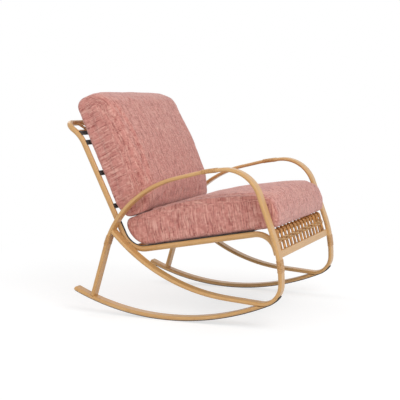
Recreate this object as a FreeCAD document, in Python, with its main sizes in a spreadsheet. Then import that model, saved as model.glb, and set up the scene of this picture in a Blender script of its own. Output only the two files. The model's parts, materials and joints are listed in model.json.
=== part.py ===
import FreeCAD
import Part
import math
import os
import Sketcher
from types import SimpleNamespace

from FreeCAD import Placement, Rotation, Vector

# Outdoor lounge rocker: two bent side loops of flat-oval tube on curved rockers,
# an L-shaped seat and back frame of round tube between them, a woven front apron
# and two loose cushions. Millimetres. X runs across the chair (the sitter's left
# is +X), -Y is the front and Z is up from the floor, with the origin under the
# middle of the chair.

SIZES = {
    # overall
    "overall_deep": 916.0,
    "frame_high": 742.0,
    "frame_wide": 680.0,
    # flat-oval tube of the side frames
    "flat_wide": 45.0,
    "flat_thick": 14.0,
    "flat_wall": 1.5,
    # round tube of the seat and back frame
    "rail_round": 22.0,
    "rail_wall": 1.5,
    "rail_gap": 1.5,
    "corner_bend": 45.0,
    # cross tubes
    "back_cross_round": 19.0,
    "rear_cross_round": 22.0,
    "front_cross_round": 19.0,
    # front bar
    "bar_tall": 26.0,
    "bar_deep": 15.0,
    "bar_corner": 3.0,
    "bar_wall": 1.5,
    "weld_bite": 7.0,
    # rockers
    "rocker_bend": 975.0,
    "glide_thick": 3.0,
    "glide_wide": 28.0,
    "feather": 14.0,
    "cap_long": 8.0,
    # splices and their bindings
    "sleeve_long": 90.0,
    "sleeve_wall": 1.5,
    "fit_gap": 0.2,
    "arm_wrap_long": 52.0,
    "leg_wrap_long": 45.0,
    "strut_wrap_long": 38.0,
    "wrap_thick": 1.5,
    # joints between the seat frame and the side frames
    "bolt_round": 6.0,
    "bolt_head_round": 10.0,
    "bolt_head_tall": 4.0,
    "socket_wide": 4.0,
    "socket_deep": 2.5,
    "nut_round": 9.0,
    "nut_flange_round": 12.0,
    "nut_flange_thick": 1.4,
    "nut_long": 11.0,
    "hole_gap": 0.25,
    # woven strands
    "strand_round": 9.0,
    "strand_apart": 10.0,
    "strand_pitch": 43.0,
    "strand_margin": 25.0,
    "twine_thick": 2.2,
    "twine_wide": 4.0,
    "twine_step": 4.6,
    "twine_high": 36.0,
    # sling, edge strips and straps
    "sling_thick": 1.4,
    "sling_over": 4.0,
    "strap_wide": 20.0,
    "strap_thick": 1.6,
    "edge_strip_wide": 8.0,
    # cushions
    "seat_cushion_long": 600.0,
    "seat_cushion_thick": 148.0,
    "back_cushion_long": 491.0,
    "back_cushion_thick": 152.0,
    "cushion_gap": 0.5,
    "cushion_side_gap": 8.5,
    # cuts run this far past what they cut
    "overrun": 30.0,
}

# Corner points of the bent tubes: a share of the overall depth and of the frame's
# height, then the share of its shorter neighbour run that the bend takes up.
ARM_SHARES = [
    (0.3406, 0.0809, 0.0),
    (0.2402, 0.4960, 0.495),
    (0.0633, 0.6860, 0.490),
    (-0.1769, 0.7588, 0.110),
    (-0.3614, 0.7871, 0.640),
]
LEG_SHARES = [(0.3423, 0.515), (0.1145, 0.476)]
BOW_SHARES = [(0.0153, 0.1604, 0.847), (0.2533, 0.4495, 0.0)]
RAIL_SHARES = [(0.4148, 0.9218, 0.434), (0.1823, 0.3302, 0.141), (-0.4356, 0.4690, 0.760)]
REAR_FOOT_SHARE = 0.4190
ARM_SPLICE_SHARE = -0.192
LEG_SPLICE_SHARE = 0.313
STRUT_SPLICE_SHARE = 0.389
BAR_HEIGHT_SHARE = 0.3640
UPPER_TUBE_SHARE = 0.9385
STRAP_SHARES = (0.9245, 0.880, 0.722, 0.5525)
EDGE_TOP_SHARE = 0.492
SLING_FRONT_SHARE = -0.376
# Shares of a bend's own turn, or of a quarter turn.
REAR_TUBE_SHARE = 0.62
CROSS_TURN_SHARE = 0.54
STRAND_BEGIN_SHARE = 1.11
GLIDE_TURN_SHARE = 0.38
# Share of the front bar's depth at which the strands land on its top.
LANDING_SHARE = 0.20
# A round edge is drawn with flat facets, fewer inside a tube than outside: so many to a half turn.
OUTSIDE_FACETS = 8
INSIDE_FACETS = 4

doc = FreeCAD.newDocument("outdoor_rocker")
sheet = doc.addObject("Spreadsheet::Sheet", "Sizes")
for row, (alias, number) in enumerate(SIZES.items(), start=1):
    sheet.set(f"A{row}", alias)
    sheet.set(f"B{row}", str(number))
    sheet.setAlias(f"B{row}", alias)
doc.recompute()
mm = SimpleNamespace(**{alias: float(sheet.get(alias)) for alias in SIZES})

NODES = []
QUARTER = math.pi / 2
UP = Vector(0, 0, 1)
ACROSS = Vector(1, 0, 0)


# Paths.
def flat(y, z):
    """A point of the side view: first along Y, then along Z."""
    return Vector(y, z, 0)


def turned_left(direction):
    return Vector(-direction.y, direction.x, 0)


class Run:
    """A straight stretch of a path."""

    def __init__(self, start, end):
        self.start = start
        self.end = end
        self.length = (end - start).Length
        self.along = (end - start) / self.length

    def at(self, distance):
        return self.start + self.along * distance

    def heading(self, distance):
        return self.along

    def cut(self, first, last):
        return Run(self.at(first), self.at(last))

    def beside(self, offset):
        side = turned_left(self.along) * offset
        return Run(self.start + side, self.end + side)

    def edge(self):
        return Part.LineSegment(self.start, self.end)


class Bend:
    """A circular stretch of a path; a positive sweep turns left."""

    def __init__(self, centre, radius, begin, sweep):
        self.centre = centre
        self.radius = radius
        self.begin = begin
        self.sweep = sweep
        self.length = radius * abs(sweep)

    def angle(self, distance):
        return self.begin + self.sweep * distance / self.length

    def at(self, distance):
        angle = self.angle(distance)
        return self.centre + Vector(math.cos(angle), math.sin(angle), 0) * self.radius

    def heading(self, distance):
        angle = self.angle(distance)
        turn = Vector(-math.sin(angle), math.cos(angle), 0)
        return turn if self.sweep > 0 else turn * -1

    def cut(self, first, last):
        begin = self.angle(first)
        return Bend(self.centre, self.radius, begin, self.angle(last) - begin)

    def beside(self, offset):
        inward = offset if self.sweep > 0 else -offset
        return Bend(self.centre, self.radius - inward, self.begin, self.sweep)

    def edge(self):
        end = self.begin + self.sweep
        circle = Part.Circle(self.centre, UP, self.radius)
        return Part.ArcOfCircle(circle, min(self.begin, end), max(self.begin, end))


class Path:
    """Straight and circular stretches, end to end."""

    def __init__(self, stretches):
        self.stretches = stretches
        self.length = sum(stretch.length for stretch in stretches)

    def find(self, distance):
        for stretch in self.stretches:
            if distance <= stretch.length or stretch is self.stretches[-1]:
                return stretch, distance
            distance -= stretch.length

    def at(self, distance):
        stretch, rest = self.find(distance)
        return stretch.at(rest)

    def heading(self, distance):
        stretch, rest = self.find(distance)
        return stretch.heading(rest)

    def cut(self, first, last):
        kept = []
        passed = 0.0
        for stretch in self.stretches:
            low = max(first - passed, 0.0)
            high = min(last - passed, stretch.length)
            if high - low > stretch.length / 10000:
                kept.append(stretch.cut(low, high))
            passed += stretch.length
        return Path(kept)

    def beside(self, offset):
        return Path([stretch.beside(offset) for stretch in self.stretches])

    def where(self, level, mark, low=0.0, high=None):
        """The distance at which a path crosses a height (level "z") or a depth ("y")."""
        high = self.length if high is None else high
        pick = (lambda point: point.y) if level == "z" else (lambda point: point.x)
        rising = pick(self.at(high)) > pick(self.at(low))
        for _ in range(50):
            middle = (low + high) / 2
            if (pick(self.at(middle)) < mark) == rising:
                low = middle
            else:
                high = middle
        return (low + high) / 2


def bent(points, shares):
    """The path through corner points, each rounded by its share of the shorter neighbour run."""
    runs = [(points[i + 1] - points[i]).Length for i in range(len(points) - 1)]
    stretches = []
    start = points[0]
    for i in range(1, len(points) - 1):
        before = (points[i] - points[i - 1]).normalize()
        after = (points[i + 1] - points[i]).normalize()
        turn = math.atan2(before.x * after.y - before.y * after.x, before.dot(after))
        tangent = shares[i] * min(runs[i - 1], runs[i])
        radius = tangent / math.tan(abs(turn) / 2)
        first = points[i] - before * tangent
        inward = turned_left(before) * (1 if turn > 0 else -1)
        centre = first + inward * radius
        spoke = first - centre
        stretches.append(Run(start, first))
        stretches.append(Bend(centre, radius, math.atan2(spoke.y, spoke.x), turn))
        start = points[i] + after * tangent
    stretches.append(Run(start, points[-1]))
    return Path(stretches)


def closed_outline(path, left, right):
    """A strip beside a path, from one offset to the other, closed at its ends."""
    one = path.beside(left)
    other = path.beside(right)
    edges = [stretch.edge() for stretch in one.stretches]
    edges.append(Part.LineSegment(one.at(one.length), other.at(other.length)))
    edges += [stretch.edge() for stretch in reversed(other.stretches)]
    edges.append(Part.LineSegment(other.at(0), one.at(0)))
    return edges


def rounded_outline(corners, shares):
    """A closed outline through corner points, each rounded by its share of half its shorter side."""
    count = len(corners)
    sides = [(corners[(i + 1) % count] - corners[i]).Length for i in range(count)]
    starts = []
    bends = []
    for i in range(count):
        before = (corners[i] - corners[i - 1]).normalize()
        after = (corners[(i + 1) % count] - corners[i]).normalize()
        turn = math.atan2(before.x * after.y - before.y * after.x, before.dot(after))
        tangent = shares[i] * min(sides[i - 1], sides[i]) / 2
        radius = tangent / math.tan(abs(turn) / 2)
        first = corners[i] - before * tangent
        centre = first + turned_left(before) * (radius if turn > 0 else -radius)
        spoke = first - centre
        bends.append(Bend(centre, radius, math.atan2(spoke.y, spoke.x), turn))
        starts.append((first, corners[i] + after * tangent))
    edges = []
    for i in range(count):
        edges.append(bends[i].edge())
        edges.append(Part.LineSegment(starts[i][1], starts[(i + 1) % count][0]))
    return edges


# Features.
def new_body(label):
    body = doc.addObject("PartDesign::Body", label)
    body.Label = label
    return body


def keep(item, label):
    item.Label = label
    NODES.append(item)
    return item


def new_sketch(body, name, role, offset=None):
    sketch = body.newObject("Sketcher::SketchObject", name)
    plane = [item for item in body.Origin.OriginFeatures if item.Role == role][0]
    sketch.AttachmentSupport = (plane, [""])
    sketch.MapMode = "FlatFace"
    if offset is not None:
        sketch.AttachmentOffset = offset
    return sketch


def bind(sketch, name, constraint, expression):
    index = sketch.addConstraint(constraint)
    sketch.renameConstraint(index, name)
    sketch.setExpression(f"Constraints.{name}", expression)


def side_plane(body, name, edges, x=0.0):
    """A sketch in the side view, its first axis along Y and its second along Z."""
    sketch = new_sketch(body, name, "YZ_Plane", Placement(Vector(0, 0, x), Rotation()))
    sketch.addGeometry(edges)
    return sketch


def square_to(point, heading, binormal=ACROSS):
    """Where a profile stands, square to a path; its own x lies along the binormal."""
    turn = Rotation(binormal, heading.cross(binormal), heading, "ZXY")
    return Placement(point, turn)


def into_space(point):
    return Vector(0, point.x, point.y)


def start_of(path):
    return square_to(into_space(path.at(0)), into_space(path.heading(0)))


def facet_arc(centre, radius, begin, facets, around=False):
    """Corner points along a half turn: on the circle, or with the facets touching it from outside."""
    step = math.pi / facets
    reach = radius / math.cos(step / 2) if around else radius
    angles = [begin + step * (i + 0.5) for i in range(facets)] if around else \
        [begin + step * i for i in range(facets + 1)]
    return [centre + Vector(math.cos(angle), math.sin(angle), 0) * reach for angle in angles]


def corner_profile(body, name, placement, corners):
    """A closed outline through corner points."""
    sketch = new_sketch(body, name, "XY_Plane", placement)
    count = len(corners)
    sketch.addGeometry([Part.LineSegment(corners[i], corners[(i + 1) % count]) for i in range(count)])
    return sketch


def oval_profile(body, name, placement, inset, facets, around=False):
    """The flat oval of the side tubes, smaller by the inset all round."""
    run = Vector((mm.flat_wide - mm.flat_thick) / 2, 0, 0)
    end = mm.flat_thick / 2 - inset
    corners = facet_arc(run, end, -QUARTER, facets, around)
    corners += facet_arc(run * -1, end, QUARTER, facets, around)
    return corner_profile(body, name, placement, corners)


def ring_profile(body, name, placement, radius, facets):
    """A round section with an even number of facets."""
    corners = facet_arc(Vector(0, 0, 0), radius, 0, facets)[:-1]
    corners += facet_arc(Vector(0, 0, 0), radius, math.pi, facets)[:-1]
    return corner_profile(body, name, placement, corners)


def box_profile(body, name, placement, wide_expression, thick_expression, wide, thick):
    """A plain rectangle about the path."""
    sketch = new_sketch(body, name, "XY_Plane", placement)
    corners = [Vector(x * wide / 2, y * thick / 2, 0) for x, y in ((-1, -1), (1, -1), (1, 1), (-1, 1))]
    sketch.addGeometry([Part.LineSegment(corners[i], corners[(i + 1) % 4]) for i in range(4)])
    rule = Sketcher.Constraint
    sketch.addConstraint([rule("Coincident", i, 2, (i + 1) % 4, 1) for i in range(4)])
    sketch.addConstraint([rule("Horizontal", 0), rule("Horizontal", 2)])
    sketch.addConstraint([rule("Vertical", 1), rule("Vertical", 3)])
    sketch.addConstraint(rule("Symmetric", 0, 1, 1, 2, -1, 1))
    bind(sketch, "wide", rule("DistanceX", 0, 1, 0, 2, wide), wide_expression)
    bind(sketch, "thick", rule("DistanceY", 1, 1, 1, 2, thick), thick_expression)
    return sketch


def pipe(body, name, spine, profile, kind="Additive", binormal=ACROSS):
    feature = body.newObject(f"PartDesign::{kind}Pipe", name)
    feature.Profile = profile
    feature.Spine = (spine, [f"Edge{i + 1}" for i in range(spine.GeometryCount)])
    feature.Mode = "Binormal"
    feature.Binormal = binormal
    feature.Transition = "Transformed"
    return feature


def pad(body, name, sketch, expression, middle=True):
    feature = body.newObject("PartDesign::Pad", name)
    feature.Profile = sketch
    feature.SideType = "Symmetric" if middle else "One side"
    feature.setExpression("Length", expression)
    return feature


def pocket(body, name, sketch):
    """A cut right through the piece, both ways along X; it has to take something away."""
    doc.recompute()
    before = body.Tip.Shape.Volume
    feature = body.newObject("PartDesign::Pocket", name)
    feature.Profile = sketch
    feature.Type = "ThroughAll"
    feature.SideType = "Symmetric"
    doc.recompute()
    if feature.Shape.Volume >= before:
        raise RuntimeError(f"{body.Label}: {name} takes nothing away")
    return feature


def less(name, base, tool):
    cut = doc.addObject("Part::Cut", name)
    cut.Base = base
    cut.Tool = tool
    return cut


def side_words(side):
    return ("left", "Sizes.frame_wide / 2") if side > 0 else ("right", "-Sizes.frame_wide / 2")


# Side frame paths.
def depth(share):
    return share * mm.overall_deep


def height(share):
    return share * mm.frame_high


leg_line = -(mm.overall_deep - mm.flat_thick) / 2
half_flat = mm.flat_thick / 2
runner_drop = mm.glide_thick + half_flat


def side_loop():
    """The whole closed side loop, from the rear strut's foot up, forward, down and back along the bow."""
    points = [flat(depth(y), height(z)) for y, z, _ in ARM_SHARES]
    points += [flat(leg_line, height(z)) for z, _ in LEG_SHARES]
    points += [flat(depth(y), height(z)) for y, z, _ in BOW_SHARES]
    shares = [share for _, _, share in ARM_SHARES]
    shares += [share for _, share in LEG_SHARES]
    shares += [share for _, _, share in BOW_SHARES]
    return bent(points, shares)


loop = side_loop()
toe = loop.stretches[11]
leg_bottom = sum(stretch.length for stretch in loop.stretches[:11])
toe_end = leg_bottom + toe.length


def rocker_arc():
    """The rocker's middle line, from the toe back to the rear tip.

    Its underside touches the outside of the toe bend from below, so its centre
    follows from the two radii."""
    radius = mm.rocker_bend
    centre_z = radius + runner_drop
    reach = radius - toe.radius
    centre_y = toe.centre.x + math.sqrt(reach ** 2 - (centre_z - toe.centre.y) ** 2)
    centre = flat(centre_y, centre_z)
    spoke = toe.centre - centre
    touch = math.atan2(spoke.y, spoke.x) % (2 * math.pi)
    tip = 1.5 * math.pi + math.asin((depth(REAR_FOOT_SHARE) - centre_y) / radius)
    return Bend(centre, radius, touch, tip - touch)


rocker_line = rocker_arc()
rocker_path = Path([rocker_line])

arm_splice = loop.where("y", depth(ARM_SPLICE_SHARE), high=loop.length / 2)
leg_splice = loop.where("z", height(LEG_SPLICE_SHARE), low=arm_splice, high=leg_bottom)
strut_splice = loop.where("z", height(STRUT_SPLICE_SHARE), high=loop.length / 5)


# Seat and back frame paths.
def bar_seat():
    """The front bar's centre and its up and rearward directions; its face lies on the leg's middle line."""
    at = loop.where("z", height(BAR_HEIGHT_SHARE), low=arm_splice, high=leg_bottom)
    up = loop.heading(at) * -1
    rear = turned_left(up) * -1
    return loop.at(at) + rear * (mm.bar_deep / 2), up, rear


bar_centre, bar_up, bar_rear = bar_seat()
half_rail = mm.rail_round / 2
top_rail_point = flat(mm.overall_deep / 2 - half_rail, mm.frame_high - half_rail)
rail_x = mm.frame_wide / 2 - mm.flat_wide / 2 - mm.rail_gap - half_rail


def seat_frame():
    """The L-shaped side tube: from the top rail down the back, along the seat and over the front edge."""
    front_end = bar_centre + bar_rear * (half_rail + mm.bar_deep / 2 - mm.weld_bite)
    points = [top_rail_point] + [flat(depth(y), height(z)) for y, z, _ in RAIL_SHARES] + [front_end]
    shares = [0.0] + [share for _, _, share in RAIL_SHARES]
    return bent(points, shares)


rail = seat_frame()
rail_lean = (flat(depth(RAIL_SHARES[0][0]), height(RAIL_SHARES[0][1])) - top_rail_point).normalize() * -1
back_run = rail.stretches[2]
seat_bend = rail.stretches[3]
seat_run = rail.stretches[4]
front_bend = rail.stretches[5]
back_start = sum(stretch.length for stretch in rail.stretches[:2])
seat_start = sum(stretch.length for stretch in rail.stretches[:4])
seat_corner = flat(depth(RAIL_SHARES[1][0]), height(RAIL_SHARES[1][1]))
forward = seat_run.along
seat_up = turned_left(forward) * -1
back_up = back_run.along * -1
back_front = turned_left(back_up)


def crossing(one, low, high, other, start, end):
    """Where two paths of the side view cross, as a distance along the first of them."""
    steps = 60
    for _ in range(6):
        best = None
        for i in range(steps + 1):
            first = low + (high - low) * i / steps
            for j in range(steps + 1):
                second = start + (end - start) * j / steps
                apart = (one.at(first) - other.at(second)).Length
                if best is None or apart < best[0]:
                    best = (apart, first, second)
        reach = (high - low) / steps * 2
        low, high = best[1] - reach, best[1] + reach
        reach = (end - start) / steps * 2
        start, end = best[2] - reach, best[2] + reach
    return best[1]


rear_joint = rail.at(crossing(rail, back_start, back_start + back_run.length, loop, 0, arm_splice / 2))
bow_joint = rail.at(crossing(rail, back_start + back_run.length / 2, seat_start + seat_run.length / 2,
                             loop, toe_end, loop.length))


# Side frame pieces.
def hollow_oval(label, side, path):
    """A bent flat-oval tube with its wall, standing in one side frame's plane."""
    body = new_body(label)
    spine = side_plane(body, "line", [stretch.edge() for stretch in path.stretches])
    placement = start_of(path)
    outside = oval_profile(body, "outside", placement, 0, OUTSIDE_FACETS)
    pipe(body, "tube", spine, outside)
    inside = oval_profile(body, "inside", placement, mm.flat_wall, INSIDE_FACETS)
    pipe(body, "bore", spine, inside, "Subtractive")
    body.setExpression("Placement.Base.x", side_words(side)[1])
    return body


def solid_oval(label, side, path):
    """The same tube filled in, to shape what butts against it."""
    body = new_body(label)
    spine = side_plane(body, "line", [stretch.edge() for stretch in path.stretches])
    outside = oval_profile(body, "outside", start_of(path), 0, OUTSIDE_FACETS)
    pipe(body, "tube", spine, outside)
    body.setExpression("Placement.Base.x", side_words(side)[1])
    return body


def strut_path():
    """The strut's middle line, from the rocker's middle line up to the splice."""
    run = loop.stretches[0]
    spoke = run.end - rocker_line.centre
    sunk = spoke.dot(run.along)
    reach = sunk + math.sqrt(sunk ** 2 + rocker_line.radius ** 2 - spoke.dot(spoke))
    return Path([Run(run.end - run.along * reach, run.end)] + loop.cut(run.length, strut_splice).stretches)


def rear_strut(side):
    """Lower end of the rear leg, its foot shaped to the rocker's top."""
    body = hollow_oval(f"{side_words(side)[0]}_strut", side, strut_path())
    below = Path([rocker_line.beside(half_flat)])
    foot = side_plane(body, "rocker_top", closed_outline(below, 0, -mm.overrun))
    pocket(body, "foot", foot)
    return keep(body, body.Label)


def rear_arm_tube(side):
    body = hollow_oval(f"{side_words(side)[0]}_rear_arm_tube", side, loop.cut(strut_splice, arm_splice))
    bolt_hole(body, side, rear_joint)
    return keep(body, body.Label)


def front_arm_tube(side):
    return keep(hollow_oval(f"{side_words(side)[0]}_front_arm_tube", side, loop.cut(arm_splice, leg_splice)),
                f"{side_words(side)[0]}_front_arm_tube")


def bow_tube(side):
    """Lower leg, toe and the long bow that rises to the rear strut, where its end is cut to fit."""
    body = hollow_oval(f"{side_words(side)[0]}_bow_tube", side, loop.cut(leg_splice, loop.length))
    strut = loop.cut(strut_splice - 2 * mm.overrun, strut_splice + 4 * mm.overrun)
    end = side_plane(body, "strut_front", closed_outline(strut, half_flat, -mm.overrun))
    pocket(body, "bow_end", end)
    bolt_hole(body, side, bow_joint)
    return keep(body, body.Label)


def rocker(side):
    """The curved runner; its front end feathers out under the toe."""
    path = Path([rocker_line.cut(mm.feather, rocker_line.length)])
    body = hollow_oval(f"{side_words(side)[0]}_rocker", side, path)
    above = loop.cut(leg_bottom - mm.overrun, toe_end + 4 * mm.overrun)
    toe_cut = side_plane(body, "toe_underside", closed_outline(above, -half_flat, mm.overrun))
    pocket(body, "scarf", toe_cut)
    return keep(body, body.Label)


def rocker_cap(side):
    """Rounded plug that closes the rocker's rear end."""
    label = f"{side_words(side)[0]}_rocker_cap"
    body = new_body(label)
    tip = into_space(rocker_path.at(rocker_path.length))
    heading = into_space(rocker_path.heading(rocker_path.length))
    plug = oval_profile(body, "plug_outline", square_to(tip, heading), mm.flat_wall + mm.fit_gap, INSIDE_FACETS)
    tongue = pad(body, "plug", plug, "Sizes.cap_long", middle=False)
    tongue.Reversed = True
    lid = oval_profile(body, "lid_outline", square_to(tip, heading), 0, OUTSIDE_FACETS)
    pad(body, "lid", lid, "Sizes.flat_wall * 2", middle=False)
    body.setExpression("Placement.Base.x", side_words(side)[1])
    return keep(body, label)


def glide(side):
    """Black wear strip under the whole runner and round the front of the toe."""
    label = f"{side_words(side)[0]}_glide"
    body = new_body(label)
    outer = -(half_flat + mm.glide_thick / 2)
    runner = rocker_line.beside(outer)
    round_toe = toe.beside(outer)
    touch = rocker_line.begin % (2 * math.pi)
    turn = GLIDE_TURN_SHARE * QUARTER
    toe_front = Bend(round_toe.centre, round_toe.radius, touch - turn, turn)
    path = Path([toe_front, runner])
    spine = side_plane(body, "line", [stretch.edge() for stretch in path.stretches])
    strip = box_profile(body, "strip", start_of(path), "Sizes.glide_wide", "Sizes.glide_thick",
                        mm.glide_wide, mm.glide_thick)
    pipe(body, "glide", spine, strip)
    body.setExpression("Placement.Base.x", side_words(side)[1])
    return keep(body, label)


def wrap(name, side, middle, long):
    """Strip wound round a splice: a sleeve of close turns."""
    label = f"{side_words(side)[0]}_{name}"
    body = new_body(label)
    path = loop.cut(middle - long / 2, middle + long / 2)
    spine = side_plane(body, "line", [stretch.edge() for stretch in path.stretches])
    placement = start_of(path)
    outside = oval_profile(body, "outside", placement, -mm.wrap_thick, INSIDE_FACETS, around=True)
    pipe(body, "turns", spine, outside)
    inside = oval_profile(body, "inside", placement, 0, INSIDE_FACETS, around=True)
    pipe(body, "tube_space", spine, inside, "Subtractive")
    body.setExpression("Placement.Base.x", side_words(side)[1])
    return body


def splice_sleeves():
    """Inner sleeves that join the side frame's tubes under the wrapped bindings."""
    made = []
    for side in (-1, 1):
        for middle in (arm_splice, leg_splice, strut_splice):
            body = new_body("sleeve")
            path = loop.cut(middle - mm.sleeve_long / 2, middle + mm.sleeve_long / 2)
            spine = side_plane(body, "line", [stretch.edge() for stretch in path.stretches])
            placement = start_of(path)
            inset = mm.flat_wall + mm.fit_gap
            outside = oval_profile(body, "outside", placement, inset, INSIDE_FACETS)
            pipe(body, "sleeve", spine, outside)
            inside = oval_profile(body, "inside", placement, inset + mm.sleeve_wall, INSIDE_FACETS)
            pipe(body, "bore", spine, inside, "Subtractive")
            body.setExpression("Placement.Base.x", side_words(side)[1])
            made.append(body)
    return keep(together("splice_sleeves_group", made), "splice_sleeves")


def together(name, items):
    group = doc.addObject("Part::Compound", name)
    group.Links = items
    return group


# Seat frame pieces.
def hollow_round(label, path, expression):
    """A bent round tube with its wall, standing at one side of the seat."""
    body = new_body(label)
    spine = side_plane(body, "line", [stretch.edge() for stretch in path.stretches])
    placement = start_of(path)
    outside = ring_profile(body, "outside", placement, half_rail, OUTSIDE_FACETS)
    pipe(body, "tube", spine, outside)
    inside = ring_profile(body, "inside", placement, half_rail - mm.rail_wall, INSIDE_FACETS)
    pipe(body, "bore", spine, inside, "Subtractive")
    body.setExpression("Placement.Base.x", expression)
    return body


RAIL_X_WORDS = "(Sizes.frame_wide - Sizes.flat_wide - 2 * Sizes.rail_gap - Sizes.rail_round) / 2"


def bolt_hole(body, side, at):
    """A hole through the inner wall of a side tube, or through a seat tube, for a joint bolt."""
    doc.recompute()
    before = body.Tip.Shape.Volume
    sketch = side_plane(body, "bolt_place", [Part.Circle(at, UP, mm.nut_round / 2 + mm.hole_gap)])
    sketch.addConstraint([Sketcher.Constraint("Block", 0)])
    feature = body.newObject("PartDesign::Pocket", "bolt_hole")
    feature.Profile = sketch
    feature.setExpression("Length", "Sizes.flat_wide")
    feature.Reversed = side < 0
    doc.recompute()
    if feature.Shape.Volume >= before:
        raise RuntimeError(f"{body.Label}: the bolt hole misses")


def side_rail(side):
    """L-shaped tube: back upright, seat rail and the waterfall bend down to the front bar."""
    label = f"{side_words(side)[0]}_seat_rail"
    path = rail.cut(mm.corner_bend, rail.length)
    sign = "" if side > 0 else "-"
    body = hollow_round(label, path, f"{sign}{RAIL_X_WORDS}")
    front = side_plane(body, "bar_section", bar_outline(0.0))
    pocket(body, "cope", front)
    sketch = side_plane(body, "bolt_places",
                        [Part.Circle(at, UP, mm.bolt_round / 2 + mm.hole_gap)
                         for at in (rear_joint, bow_joint)])
    pocket(body, "bolt_holes", sketch)
    return keep(body, label)


def bar_outline(inset):
    """The front bar's rounded section in the side view."""
    tall = mm.bar_tall / 2 - inset
    deep = mm.bar_deep / 2 - inset
    corners = [bar_centre + bar_up * (tall * u) + bar_rear * (deep * r)
               for u, r in ((-1, -1), (-1, 1), (1, 1), (1, -1))]
    share = 2 * (mm.bar_corner - inset) / (2 * deep)
    return rounded_outline(corners, [share] * 4)


def top_rail():
    """Top of the back: two rounded corners and the run between them, in the plane that leans back."""
    body = new_body("top_rail")
    lean = into_space(rail_lean)
    normal = ACROSS.cross(lean)
    plane = Placement(into_space(top_rail_point), Rotation(ACROSS, lean, normal, "ZXY"))
    bend = mm.corner_bend
    path = Path([
        Bend(Vector(-rail_x + bend, -bend, 0), bend, math.pi, -math.pi / 2),
        Run(Vector(-rail_x + bend, 0, 0), Vector(rail_x - bend, 0, 0)),
        Bend(Vector(rail_x - bend, -bend, 0), bend, math.pi / 2, -math.pi / 2),
    ])
    spine = new_sketch(body, "line", "XY_Plane", plane)
    spine.addGeometry([stretch.edge() for stretch in path.stretches])
    begin = Placement(plane.multVec(path.at(0)), Rotation(ACROSS, normal * -1, lean, "ZXY"))
    outside = ring_profile(body, "outside", begin, half_rail, OUTSIDE_FACETS)
    pipe(body, "tube", spine, outside, binormal=normal)
    inside = ring_profile(body, "inside", begin, half_rail - mm.rail_wall, INSIDE_FACETS)
    pipe(body, "bore", spine, inside, "Subtractive", binormal=normal)
    return keep(body, "top_rail")


def cross_tube(label, centre, round_name, wall=True):
    """A straight tube between the two seat rails, its ends shaped to them."""
    body = new_body(label)
    radius = getattr(mm, round_name) / 2
    sketch = side_plane(body, "ring", [Part.Circle(centre, UP, radius)])
    bind(sketch, "radius", Sketcher.Constraint("Radius", 0, radius), f"Sizes.{round_name} / 2")
    if wall:
        sketch.addGeometry(Part.Circle(centre, UP, radius - mm.rail_wall))
        sketch.addConstraint(Sketcher.Constraint("Coincident", 0, 3, 1, 3))
        bind(sketch, "bore", Sketcher.Constraint("Radius", 1, radius - mm.rail_wall),
             f"Sizes.{round_name} / 2 - Sizes.rail_wall")
    pad(body, "tube", sketch, f"2 * {RAIL_X_WORDS}")
    return body


def filled_rail(side):
    """A seat rail filled in, to shape the ends of what butts against it."""
    body = new_body("rail_form")
    path = rail.cut(mm.corner_bend, rail.length)
    spine = side_plane(body, "line", [stretch.edge() for stretch in path.stretches])
    outside = ring_profile(body, "outside", start_of(path), half_rail, OUTSIDE_FACETS)
    pipe(body, "tube", spine, outside)
    sign = "" if side > 0 else "-"
    body.setExpression("Placement.Base.x", f"{sign}{RAIL_X_WORDS}")
    return body


def front_bar():
    """Rectangular bar between the front legs, its ends shaped to the legs' round edges."""
    body = new_body("front_bar_blank")
    sketch = side_plane(body, "section", bar_outline(0.0) + bar_outline(mm.bar_wall))
    pad(body, "bar", sketch, "Sizes.frame_wide - Sizes.flat_wide + Sizes.flat_thick")
    blank = body
    for side in (-1, 1):
        form = solid_oval("leg_form", side, loop.cut(arm_splice, leg_bottom))
        blank = less("bar_end", blank, form)
    return keep(blank, "front_bar")


# Webbing.
def webbing_strip(body, path, words):
    """A strip laid on the front or the top of the seat tubes, along their side view."""
    inner = -half_rail
    sketch = side_plane(body, "strip", closed_outline(path, inner, inner - mm.sling_thick))
    pad(body, "webbing", sketch, words)
    return body


def seat_sling():
    """Sling fabric stretched over the seat tubes, from the bend forward."""
    end = rail.where("y", depth(SLING_FRONT_SHARE), low=seat_start, high=seat_start + seat_run.length)
    body = webbing_strip(new_body("seat_sling"), rail.cut(seat_start, end),
                         f"2 * {RAIL_X_WORDS} + 2 * Sizes.sling_over")
    return keep(body, "seat_sling")


def edge_strip(side):
    """Narrow strip that goes on from the sling round each tube's bend and up its front."""
    label = f"{side_words(side)[0]}_edge_strip"
    start = rail.where("z", height(EDGE_TOP_SHARE), low=back_start, high=back_start + back_run.length)
    body = webbing_strip(new_body(label), rail.cut(start, seat_start), "Sizes.edge_strip_wide")
    sign = "" if side > 0 else "-"
    body.setExpression("Placement.Base.x", f"{sign}{RAIL_X_WORDS}")
    return keep(body, label)


def back_strap(number, share):
    """Flat webbing band across the fronts of the two back uprights."""
    label = f"back_strap_{number}"
    body = new_body(label)
    at = rail.where("z", height(share), high=back_start + back_run.length)
    up = rail.heading(at) * -1
    front = turned_left(up)
    low = rail.at(at) + front * half_rail - up * (mm.strap_wide / 2)
    rise = up * mm.strap_wide
    out = front * mm.strap_thick
    corners = [low, low + rise, low + rise + out, low + out]
    sketch = side_plane(body, "band", [Part.LineSegment(corners[i], corners[(i + 1) % 4]) for i in range(4)])
    pad(body, "strap", sketch, f"2 * {RAIL_X_WORDS} + 2 * Sizes.sling_over")
    return keep(body, label)


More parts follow.
